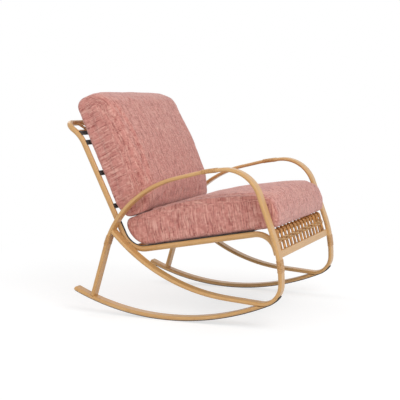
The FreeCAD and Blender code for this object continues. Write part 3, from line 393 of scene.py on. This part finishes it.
def oval_section(tree, sides, wide, thick):
    """A closed section of so many sides to run along a line."""
    ring = add(tree, "GeometryNodeCurvePrimitiveCircle", {"Resolution": sides, "Radius": 0.5})
    size = add(tree, "ShaderNodeCombineXYZ", {0: wide, 1: thick, 2: 1.0})
    return add(tree, "GeometryNodeTransform", {"Geometry": ring.outputs[0], "Scale": size.outputs[0]})


def sweep_tree():
    """Sweeps an oval section along a route and repeats it by equal steps."""
    tree, given = geometry_group(
        "repeated_sweep",
        [("Width", "NodeSocketFloat", 0.009), ("Thickness", "NodeSocketFloat", 0.009),
         ("Sides", "NodeSocketInt", 12), ("Count", "NodeSocketInt", 1), ("Step", "NodeSocketVector", None)])
    section = oval_section(tree, given["Sides"], given["Width"], given["Thickness"])
    swept = add(tree, "GeometryNodeCurveToMesh", {"Curve": given["Geometry"], "Fill Caps": True,
                                                  "Profile Curve": section.outputs[0]})
    row = add(tree, "GeometryNodeMeshLine", {"Count": given["Count"], "Offset": given["Step"]})
    copies = add(tree, "GeometryNodeInstanceOnPoints",
                 {"Points": row.outputs[0], "Instance": swept.outputs[0]})
    realized(tree, copies, given)


def route(name, points):
    """A line through points as a curve object."""
    curve = bpy.data.curves.new(name, "CURVE")
    curve.dimensions = "3D"
    curve.twist_mode = "Z_UP"
    spline = curve.splines.new("POLY")
    spline.points.add(len(points) - 1)
    for place, point in zip(spline.points, points):
        place.co = (*point, 1.0)
    return new_object(name, curve)


def swept(name, routes, material, slot, group="repeated_sweep", **inputs):
    """Runs a node group on each route and joins what it makes into one piece on the frame."""
    tree = bpy.data.node_groups[group]
    sockets = {item.name: item.identifier for item in tree.interface.items_tree if item.in_out == "INPUT"}
    joined = bmesh.new()
    for line in routes:
        modifier = line.modifiers.new("sweep", "NODES")
        modifier.node_group = tree
        for label, value in inputs.items():
            modifier[sockets[label.replace("_", " ")]] = value
        modifier[sockets["Material"]] = material
        bpy.context.view_layer.update()
        made = bpy.data.meshes.new_from_object(line.evaluated_get(bpy.context.evaluated_depsgraph_get()))
        joined.from_mesh(made)
        bpy.data.meshes.remove(made)
        bpy.data.objects.remove(line)
    bmesh.ops.recalc_face_normals(joined, faces=joined.faces)
    mesh = bpy.data.meshes.new(name)
    joined.to_mesh(mesh)
    joined.free()
    mesh.materials.append(material)
    mesh.shade_smooth()
    piece = new_object(name, mesh)
    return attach(piece, FRAME_BODY)


def strand_places(name, round_size):
    """Middle lines of the strand pairs across the chair, read from the woven node's mesh."""
    across = sorted({round(vertex.co.x, 4) for vertex in NODES[name].data.vertices})
    groups = [[across[0]]]
    for value in across[1:]:
        if value - groups[-1][-1] > round_size:
            groups.append([])
        groups[-1].append(value)
    return [(group[0] + group[-1]) / 2 for group in groups]


def end_points(name, apart):
    """Middle of the lowest and of the highest end of a woven node, in the side view."""
    low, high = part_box(name)
    lowest = [v.co for v in NODES[name].data.vertices if v.co.z < low.z + apart]
    highest = [v.co for v in NODES[name].data.vertices if v.co.z > high.z - apart]
    ends = []
    for group in (lowest, highest):
        ys = [point.y for point in group]
        zs = [point.z for point in group]
        ends.append(Vector((0, (min(ys) + max(ys)) / 2, (min(zs) + max(zs)) / 2)))
    return ends


def apron_route(finish):
    """Over the front cross tube from behind, then straight down to the bar."""
    low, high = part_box("front_cross_tube")
    centre = (low + high) / 2
    radius = (high.z - low.z + finish.strand_round) / 2
    foot_tall = 0.002
    foot = end_points("apron_strands", foot_tall)[0]
    reach = Vector((foot.y - centre.y, foot.z - centre.z))
    leave = math.atan2(reach.y, reach.x) - math.acos(radius / reach.length)
    begin = math.radians(75)
    steps = 10
    turn = (leave % math.tau) - begin
    points = []
    for i in range(steps + 1):
        angle = begin + turn * i / steps
        points.append(Vector((0, centre.y + radius * math.cos(angle), centre.z + radius * math.sin(angle))))
    points.append(foot)
    return points


def winding_tree():
    """Winds a strip round a flat-oval tube, turn by turn along a line."""
    tree, given = geometry_group(
        "wound_strip",
        [("Turns", "NodeSocketInt", 8), ("Round", "NodeSocketFloat", 0.0155),
         ("Across", "NodeSocketFloat", 0.0465), ("Strip Width", "NodeSocketFloat", 0.006),
         ("Strip Thickness", "NodeSocketFloat", 0.0016)])
    box = add(tree, "GeometryNodeCurvePrimitiveQuadrilateral",
              {"Width": given["Across"], "Height": given["Round"]})
    nearly_half = 0.499
    corner = math_node(tree, "MULTIPLY", given["Round"], nearly_half)
    oval = add(tree, "GeometryNodeFilletCurve",
               {"Curve": box.outputs[0], "Count": 5, "Radius": corner}, mode="POLY")
    level = add(tree, "GeometryNodeSetCurveNormal", {"Curve": oval.outputs[0]}, mode="Z_UP")
    strip = oval_section(tree, 10, given["Strip Thickness"], given["Strip Width"])
    turn = add(tree, "GeometryNodeCurveToMesh",
               {"Curve": level.outputs[0], "Profile Curve": strip.outputs[0]})
    places = add(tree, "GeometryNodeCurveToPoints",
                 {"Curve": given["Geometry"], "Count": given["Turns"]})
    turns = add(tree, "GeometryNodeInstanceOnPoints", {"Points": places.outputs["Points"],
                                                       "Instance": turn.outputs[0],
                                                       "Rotation": places.outputs["Rotation"]})
    realized(tree, turns, given)


def wrap_line(name, turn_wide):
    """The tube's middle line under a binding, from the two end faces of the binding's solid."""
    mesh = NODES[name].data
    low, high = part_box(name)
    lean = 0 if name.endswith("leg_wrap") else low.y - high.y
    main = Vector((0, lean, high.z - low.z)).normalized()
    facing = 0.7
    ends = []
    for way in (-1, 1):
        capped = [face for face in mesh.polygons if face.normal.dot(main) * way > facing]
        area = sum(face.area for face in capped)
        centre = sum((face.center * face.area for face in capped), Vector()) / area
        normal = sum((face.normal * face.area for face in capped), Vector()).normalized()
        ends.append((centre, normal * way))
    (start, first), (end, last) = ends
    reach = (end - start).length
    start = start + first * (turn_wide / 2)
    end = end - last * (turn_wide / 2)
    points = []
    steps = 12
    for i in range(steps + 1):
        t = i / steps
        one = start + first * (reach * t / 3)
        other = end - last * (reach * (1 - t) / 3)
        ease = t * t * (3 - 2 * t)
        points.append(one.lerp(other, ease))
    return points, reach


def shifted(points, across):
    """The same points, moved across the chair."""
    return [point + ACROSS * across for point in points]


# Cushions

def side_axes(name):
    """Along a cushion in the side view, which is the way it lifts out, and through its thickness."""
    lift = [joint for joint in frame["joints"] if joint["child"] == name][0]["axis"]
    up = Vector(lift).normalized()
    if name == "seat_cushion":
        thick = Vector((0, -up.z, up.y)) if up.y > 0 else Vector((0, up.z, -up.y))
        return up, thick.normalized()
    return up, Vector((0, -up.z, up.y)).normalized()


# Share of a cushion's half width, and how far the solid's outline is drawn in there.
DRAWN_IN = ((0.80, 0.0), (0.95, 0.0015), (0.985, 0.0071), (1.0, 0.0172))


def drawn_in(share):
    """How far the solid's outline is drawn in at a share of the half width, in metres."""
    for (start, low), (end, high) in zip(DRAWN_IN, DRAWN_IN[1:]):
        if share <= end:
            return low + (high - low) * max(share - start, 0) / (end - start)
    return DRAWN_IN[-1][1]


def square_up(mesh, finish, ways, middle, halves):
    """Lets the drawn-in edges out again, so that the boxing meets the panels at a seam."""
    half = max(vertex.co.x for vertex in mesh.vertices)
    flat_share, edge_share = 0.95, 0.05
    side = [vertex.co for vertex in mesh.vertices if vertex.co.x > half - finish.seam_deep / 4]
    for way, place, half_size in zip(ways, middle, halves):
        low = min(point.dot(way) for point in side)
        high = max(point.dot(way) for point in side)
        centre = low + (high - low) * place
        for vertex in mesh.vertices:
            share = min(abs(vertex.co.x) / half, 1)
            kept = finish.edge_round * max(share - flat_share, 0) / edge_share
            size = (1 - kept / half_size) / (1 - drawn_in(share) / half_size)
            vertex.co += way * ((vertex.co.dot(way) - centre) * (max(size, 1) - 1))


def cover_of(name, finish, ways, middle, halves):
    """The cushion's solid as one even skin with its edges let out, and a tree of that form."""
    mesh = NODES[name].data.copy()
    cover = new_object(f"{name}_cover", mesh)
    work = bmesh.new()
    work.from_mesh(mesh)
    bmesh.ops.remove_doubles(work, verts=work.verts, dist=1e-5)
    bmesh.ops.recalc_face_normals(work, faces=work.faces)
    work.to_mesh(mesh)
    work.free()
    square_up(mesh, finish, ways, middle, halves)
    form = BVHTree.FromPolygons([vertex.co.copy() for vertex in mesh.vertices],
                                [tuple(face.vertices) for face in mesh.polygons])
    remesh = cover.modifiers.new("even", "REMESH")
    remesh.mode = "VOXEL"
    remesh.voxel_size = finish.voxel
    settle(cover)
    return cover, form


def skin_normals(cover):
    """The cover's normals, kept apart so that moving its points doesn't change them."""
    return [vertex.normal.copy() for vertex in cover.data.vertices]


def settle(piece):
    """Makes what the modifiers give the piece's own mesh and removes them."""
    made = bpy.data.meshes.new_from_object(piece.evaluated_get(bpy.context.evaluated_depsgraph_get()))
    piece.modifiers.clear()
    old = piece.data
    piece.data = made
    bpy.data.meshes.remove(old)


def fill(cover, finish):
    """The filling pushes the cover out, as air would, and the fabric holds it back."""
    start = [vertex.co.copy() for vertex in cover.data.vertices]
    normals = skin_normals(cover)
    cloth = cover.modifiers.new("filling", "CLOTH")
    cloth.settings.use_pressure = True
    cloth.settings.uniform_pressure_force = 4.0
    cloth.settings.effector_weights.gravity = 0.0
    cloth.settings.quality = 4
    cloth.settings.tension_stiffness = 12.0
    cloth.settings.compression_stiffness = 12.0
    cloth.settings.bending_stiffness = 0.4
    cloth.collision_settings.use_collision = False
    cloth.point_cache.frame_end = finish.frames
    for number in range(1, finish.frames + 1):
        bpy.context.scene.frame_set(number)
    settle(cover)
    bpy.context.scene.frame_set(1)
    for vertex, before, normal in zip(cover.data.vertices, start, normals):
        moved = vertex.co - before
        sunk = -moved.dot(normal) - finish.sink
        if sunk > 0:
            moved += normal * sunk
        if moved.length > finish.swell:
            moved *= finish.swell / moved.length
        vertex.co = before + moved


def hold_in(cover, form, proud):
    """Keeps the cover within its form, give or take what fabric may stand proud on its free sides."""
    for vertex in cover.data.vertices:
        place, normal, _, _ = form.find_nearest(vertex.co)
        outside = (vertex.co - place).dot(normal)
        allowed = proud(place, normal)
        if outside > allowed:
            vertex.co -= normal * (outside - allowed)


class Boxing:
    """The side band of a cushion: how far a place lies from the band's front edge."""
    step = 0.012

    def __init__(self, cover, finish, along, through, drop):
        self.along = along
        self.through = through
        self.drop = drop
        self.line = max(vertex.co.x for vertex in cover.data.vertices) - finish.seam_in
        highest = {}
        for vertex in cover.data.vertices:
            if abs(vertex.co.x) > self.line:
                place = round(vertex.co.dot(along) / self.step)
                highest[place] = max(highest.get(place, -1), vertex.co.dot(through))
        self.edge = {place: (highest.get(place - 1, high) + high + highest.get(place + 1, high)) / 3
                     for place, high in highest.items()}

    def below(self, point):
        place = point.dot(self.along) / self.step
        first = math.floor(place)
        nearest = self.edge.get(round(place), point.dot(self.through))
        low = self.edge.get(first, nearest)
        high = self.edge.get(first + 1, nearest)
        return low + (high - low) * (place - first) - point.dot(self.through)

    def holds(self, point):
        return abs(point.x) > self.line and self.below(point) > self.drop


def box_seams(cover, boxing, finish):
    """Presses the seams between the side boxing and the panels into the cover."""
    half_thick = 0.07
    middle = sum(boxing.edge.values()) / len(boxing.edge) - half_thick
    for vertex, normal in zip(cover.data.vertices, skin_normals(cover)):
        if abs(vertex.co.x) > boxing.line:
            away = (boxing.below(vertex.co) - boxing.drop) / finish.seam_wide
        elif vertex.co.dot(boxing.through) < middle:
            away = (abs(vertex.co.x) - boxing.line) / finish.seam_wide
        else:
            continue
        pucker = 0.75 + 0.5 * noise.noise(vertex.co * 38.0)
        vertex.co -= normal * finish.seam_deep * math.exp(-away * away) * pucker


def soften(cover, along, through):
    """Slow dents and pulls in the filling."""
    dent, pull = 0.0022, 0.0008
    for vertex, normal in zip(cover.data.vertices, skin_normals(cover)):
        place = Vector((vertex.co.x, vertex.co.dot(along), vertex.co.dot(through)))
        slow = noise.noise(place * 9.0) * dent
        ripple = noise.noise(Vector((place.x * 16, place.y * 34, place.z * 20))) * pull
        vertex.co += normal * (slow + ripple)


def lay_weave(cover, boxing, along, through):
    """A map in metres on which the slubs run up the panels and across the side boxing."""
    layer = cover.data.uv_layers.new(name="weave")
    facing_side, band_stretch = 0.72, 0.6
    for face in cover.data.polygons:
        ends = abs(face.normal.dot(along)) > abs(face.normal.dot(through))
        band = boxing.holds(face.center)
        turned = abs(face.normal.x) > facing_side
        for loop in face.loop_indices:
            point = cover.data.vertices[cover.data.loops[loop].vertex_index].co
            if band:
                layer.data[loop].uv = (point.dot(along), point.dot(through) * band_stretch)
            elif turned:
                over_edge = math.copysign(boxing.below(point), point.x)
                layer.data[loop].uv = (point.x + over_edge, point.dot(along))
            elif ends:
                layer.data[loop].uv = (point.x, point.dot(through))
            else:
                layer.data[loop].uv = (point.x, point.dot(along))


def make_cushion(name, finish, middle, halves, drop, proud):
    """Middle and halves are given along the cushion and through it: a share, and metres."""
    along, through = side_axes(name)
    cover, form = cover_of(name, finish, (along, through), middle, halves)
    fill(cover, finish)
    hold_in(cover, form, proud)
    soften(cover, along, through)
    boxing = Boxing(cover, finish, along, through, drop)
    lay_weave(cover, boxing, along, through)
    box_seams(cover, boxing, finish)
    cover.data.materials.clear()
    cover.data.materials.append(bpy.data.materials["rose_slub"])
    cover.data.shade_smooth()
    smooth = cover.modifiers.new("smooth", "SUBSURF")
    smooth.levels = 1
    smooth.render_levels = 1
    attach(cover, name)
    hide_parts(name)


# Operators

class ROCKER_OT_materials(bpy.types.Operator):
    """Makes the shared shader effects and every finish"""
    bl_idname = "rocker.materials"
    bl_label = "Mix finishes"

    def execute(self, context):
        scene = context.scene
        paint, weave, cloth = scene.rocker_frame, scene.rocker_weave, scene.rocker_cloth
        grain_effect()
        weave_effect()
        tones = (paint.honey, paint.pale, paint.tan)
        grained_paint("honey_side_tube", (330, 7, 7), *tones)
        grained_paint("honey_cross_tube", (7, 330, 330), *tones)
        resin("brown_strand", weave.strand, weave.strand_dark, (240, 240, 40))
        resin("tan_twine", weave.twine, weave.twine_dark, (60, 420, 420))
        resin("honey_binding", weave.binding, paint.tan, (60, 260, 260))
        rubber("black_glide", paint.glide)
        steel("plain_steel")
        webbing_cloth("dark_webbing", cloth.webbing)
        cushion_cloth("rose_slub", cloth)
        return {"FINISHED"}


class ROCKER_OT_tubes(bpy.types.Operator):
    """Paints the bent side tubes, the seat frame and the front bar with a long grain"""
    bl_idname = "rocker.tubes"
    bl_label = "Paint tubes"

    def execute(self, context):
        materials = bpy.data.materials
        for side in ("right", "left"):
            for name in SIDE_TUBES:
                dress(f"{side}_{name}", materials["honey_side_tube"])
            dress(f"{side}_glide", materials["black_glide"])
        for name in ("top_rail", "upper_back_tube", "rear_cross_tube", "front_cross_tube", "front_bar"):
            dress(name, materials["honey_cross_tube"])
        return {"FINISHED"}


class ROCKER_OT_hardware(bpy.types.Operator):
    """Finishes the bolts, inserts and inner sleeves"""
    bl_idname = "rocker.hardware"
    bl_label = "Finish hardware"

    def execute(self, context):
        for name in ("joint_bolts", "threaded_inserts", "splice_sleeves"):
            dress(name, bpy.data.materials["plain_steel"])
        return {"FINISHED"}


class ROCKER_OT_webbing(bpy.types.Operator):
    """Finishes the sling under the seat, its edge strips and the straps across the back"""
    bl_idname = "rocker.webbing"
    bl_label = "Finish webbing"

    def execute(self, context):
        for name in NODES:
            if name == "seat_sling" or "strap" in name or "edge_strip" in name:
                dress(name, bpy.data.materials["dark_webbing"])
        return {"FINISHED"}


class ROCKER_OT_apron(bpy.types.Operator):
    """Weaves the front apron and the short panel at the top of the back"""
    bl_idname = "rocker.apron"
    bl_label = "Weave apron"

    def execute(self, context):
        finish = context.scene.rocker_weave
        sweep_tree()
        for name, points in (("apron_strands", apron_route(finish)),
                             ("top_panel_strands", end_points("top_panel_strands", 0.004))):
            places = strand_places(name, finish.strand_round)
            pitch = places[1] - places[0]
            routes = []
            for shift in (-1, 1):
                start = places[0] + shift * finish.pair_apart / 2
                routes.append(route(f"{name}_line", shifted(points, start)))
            woven = swept(f"{name}_woven", routes, bpy.data.materials["brown_strand"], "resin_strand",
                          Width=finish.strand_round, Thickness=finish.strand_round, Sides=12,
                          Count=len(places), Step=Vector((pitch, 0, 0)))
            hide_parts(name)
        self.twine(finish)
        return {"FINISHED"}

    def twine(self, finish):
        """Three rows of strip, each in front of one pair and behind the next."""
        places = strand_places("apron_strands", finish.strand_round)
        pitch = places[1] - places[0]
        low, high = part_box("apron_twine")
        top, foot = apron_route(finish)[-2:]
        down = (foot - top).normalized()
        front = Vector((0, down.z, -down.y))
        middle = (low.z + high.z) / 2
        centre = top + down * ((middle - top.z) / down.z)
        swing = (finish.strand_round + finish.strip_thick) / 2
        rows, row_gap, steep, steps = 3, 0.0004, 2.2, 10
        routes = []
        for row in range(rows):
            at = centre + down * (row - 1) * (finish.strip_wide + row_gap)
            points = []
            for i in range(-steps // 2, (len(places) - 1) * steps + steps // 2 + 1):
                phase = math.pi * i / steps + math.pi * row
                wave = math.tanh(steep * math.cos(phase)) / math.tanh(steep)
                points.append(at + ACROSS * (places[0] + pitch * i / steps) + front * (swing * wave))
            routes.append(route("twine_line", points))
        twined = swept("apron_twine_woven", routes, bpy.data.materials["tan_twine"], "resin_strand",
                       Width=finish.strip_thick, Thickness=finish.strip_wide, Sides=8)
        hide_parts("apron_twine")


class ROCKER_OT_bindings(bpy.types.Operator):
    """Winds a strip round each splice of the side frames, in close turns"""
    bl_idname = "rocker.bindings"
    bl_label = "Wind bindings"

    def execute(self, context):
        finish = context.scene.rocker_weave
        winding_tree()
        for side in ("right", "left"):
            for part in ("arm_wrap", "leg_wrap", "strut_wrap"):
                name = f"{side}_{part}"
                points, reach = wrap_line(name, finish.turn_wide)
                low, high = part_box(name)
                across = high.x - low.x - finish.turn_thick
                points = [Vector((0, p.y, p.z)) + ACROSS * ((low.x + high.x) / 2) for p in points]
                wound = swept(f"{name}_wound", [route(f"{name}_line", points)],
                              bpy.data.materials["honey_binding"], "binding", group="wound_strip",
                              Turns=round(reach / finish.turn_wide), Across=across,
                              Round=finish.tube_thick + finish.turn_thick,
                              Strip_Width=finish.turn_wide, Strip_Thickness=finish.turn_thick)
                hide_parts(name)
        return {"FINISHED"}


class ROCKER_OT_cushions(bpy.types.Operator):
    """Fills the two loose cushions and covers them in slubbed weave"""
    bl_idname = "rocker.cushions"
    bl_label = "Fill cushions"

    def execute(self, context):
        finish = context.scene.rocker_cloth
        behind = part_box("back_cushion")[0].y

        def seat_proud(place, normal):
            return 0.0 if normal.z < -0.5 or place.y > behind else PROUD

        def back_proud(_, normal):
            return 0.0 if normal.y > 0.5 or normal.z < -0.5 else PROUD

        make_cushion("seat_cushion", finish, middle=(0.57, 0.57), halves=(0.290, 0.074),
                     drop=finish.seat_drop, proud=seat_proud)
        make_cushion("back_cushion", finish, middle=(0.47, 0.51), halves=(0.2455, 0.076),
                     drop=finish.back_drop, proud=back_proud)
        return {"FINISHED"}


class ROCKER_OT_stage(bpy.types.Operator):
    """Sets the camera, the lamps, the pale floor and the white surroundings"""
    bl_idname = "rocker.stage"
    bl_label = "Set stage"

    def execute(self, context):
        self.camera(context)
        self.floor()
        self.lamps()
        self.world(context)
        context.scene.view_settings.view_transform = "Standard"
        return {"FINISHED"}

    def camera(self, context):
        lens = bpy.data.cameras.new("photo_camera")
        lens.lens = 83.34
        lens.sensor_width = 36.0
        lens.clip_end = 100
        camera = new_object("photo_camera", lens)
        camera.location = (-3.4458, -1.445, 0.811)
        camera.rotation_euler = Euler((math.radians(84.002), 0, math.radians(-67.147)))
        context.scene.camera = camera

    def floor(self):
        """A pale floor that keeps a faint shadow and fades into the white surroundings."""
        half = 14.0
        mesh = bpy.data.meshes.new("floor")
        corners = [(-half, -half, 0), (half, -half, 0), (half, half, 0), (-half, half, 0)]
        mesh.from_pydata(corners, [], [(0, 1, 2, 3)])
        floor = new_object("floor", mesh)
        material, tree, shader = surface("pale_floor", (0.9, 0.9, 0.9), 0.9, Specular_IOR_Level=0.0)
        dim = add(tree, "ShaderNodeBsdfDiffuse", {"Color": (0.40, 0.40, 0.40, 1)})
        glow = add(tree, "ShaderNodeEmission", {"Color": (1, 1, 1, 1), "Strength": 0.66})
        lifted = add(tree, "ShaderNodeAddShader", {0: dim.outputs[0], 1: glow.outputs[0]})
        white = add(tree, "ShaderNodeEmission", {"Color": (1, 1, 1, 1), "Strength": 1.0})
        away = add(tree, "ShaderNodeVectorMath", {0: add(tree, "ShaderNodeTexCoord").outputs["Object"]},
                   operation="LENGTH").outputs["Value"]
        seen = seen_directly(tree)
        ground = add(tree, "ShaderNodeMixShader", {0: seen, 1: shader.outputs[0], 2: lifted.outputs[0]})
        fade = math_node(tree, "MULTIPLY", ramp(tree, away, 0.9, 1.8), seen)
        both = add(tree, "ShaderNodeMixShader", {0: fade, 1: ground.outputs[0], 2: white.outputs[0]})
        out = [node for node in tree.nodes if node.type == "OUTPUT_MATERIAL"][0]
        tree.links.new(both.outputs[0], out.inputs["Surface"])
        mesh.materials.append(material)

    def lamps(self):
        """Large soft lamps: one high in front of the seat, one from the side, one behind."""
        for name, place, size, power in (("key", (-1.6, -2.4, 3.0), 2.2, 62.0),
                                         ("side", (-3.2, 0.8, 1.8), 1.8, 13.0),
                                         ("back", (1.5, 2.2, 2.6), 1.6, 20.0)):
            data = bpy.data.lights.new(name, "AREA")
            data.size = size
            data.energy = power
            lamp = new_object(name, data)
            lamp.location = place
            lamp.rotation_euler = (LIT_PLACE - Vector(place)).to_track_quat("-Z", "Y").to_euler()

    def world(self, context):
        """Even soft light, and plain white to the camera and in reflections."""
        world = bpy.data.worlds.new("white_studio")
        world.use_nodes = True
        tree = world.node_tree
        tree.nodes.clear()
        soft = add(tree, "ShaderNodeBackground", {"Color": (1, 1, 1, 1), "Strength": 0.62})
        white = add(tree, "ShaderNodeBackground", {"Color": (1, 1, 1, 1), "Strength": 1.0})
        both = add(tree, "ShaderNodeMixShader",
                   {0: seen_directly(tree), 1: soft.outputs[0], 2: white.outputs[0]})
        out = tree.nodes.new("ShaderNodeOutputWorld")
        tree.links.new(both.outputs[0], out.inputs["Surface"])
        context.scene.world = world


class ROCKER_PT_panel(bpy.types.Panel):
    """Lists the chair's pieces and their sizes and colours"""
    bl_label = "Outdoor rocker"
    bl_idname = "ROCKER_PT_panel"
    bl_space_type = "VIEW_3D"
    bl_region_type = "UI"
    bl_category = "Rocker"

    def draw(self, context):
        for settings in (context.scene.rocker_frame, context.scene.rocker_weave, context.scene.rocker_cloth):
            box = self.layout.box()
            for name in settings.__annotations__:
                box.prop(settings, name)
        for operator in OPERATORS:
            self.layout.operator(operator.bl_idname)


SETTINGS = (FrameFinish, WeaveFinish, ClothFinish)
OPERATORS = (ROCKER_OT_stage, ROCKER_OT_materials, ROCKER_OT_tubes, ROCKER_OT_hardware, ROCKER_OT_webbing,
             ROCKER_OT_apron, ROCKER_OT_bindings, ROCKER_OT_cushions)


def register():
    """Makes the settings, the operators and the panel known."""
    for item in (*SETTINGS, *OPERATORS, ROCKER_PT_panel):
        bpy.utils.register_class(item)
    bpy.types.Scene.rocker_frame = PointerProperty(type=FrameFinish)
    bpy.types.Scene.rocker_weave = PointerProperty(type=WeaveFinish)
    bpy.types.Scene.rocker_cloth = PointerProperty(type=ClothFinish)


def unregister():
    """Takes them away again, last first."""
    for name in ("rocker_cloth", "rocker_weave", "rocker_frame"):
        delattr(bpy.types.Scene, name)
    for item in reversed((*SETTINGS, *OPERATORS, ROCKER_PT_panel)):
        bpy.utils.unregister_class(item)


def main():
    """Dresses the whole chair."""
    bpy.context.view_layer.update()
    register()
    for operator in OPERATORS:
        group, name = operator.bl_idname.split(".")
        getattr(getattr(bpy.ops, group), name)()
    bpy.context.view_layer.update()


if __name__ == "__main__":
    main()
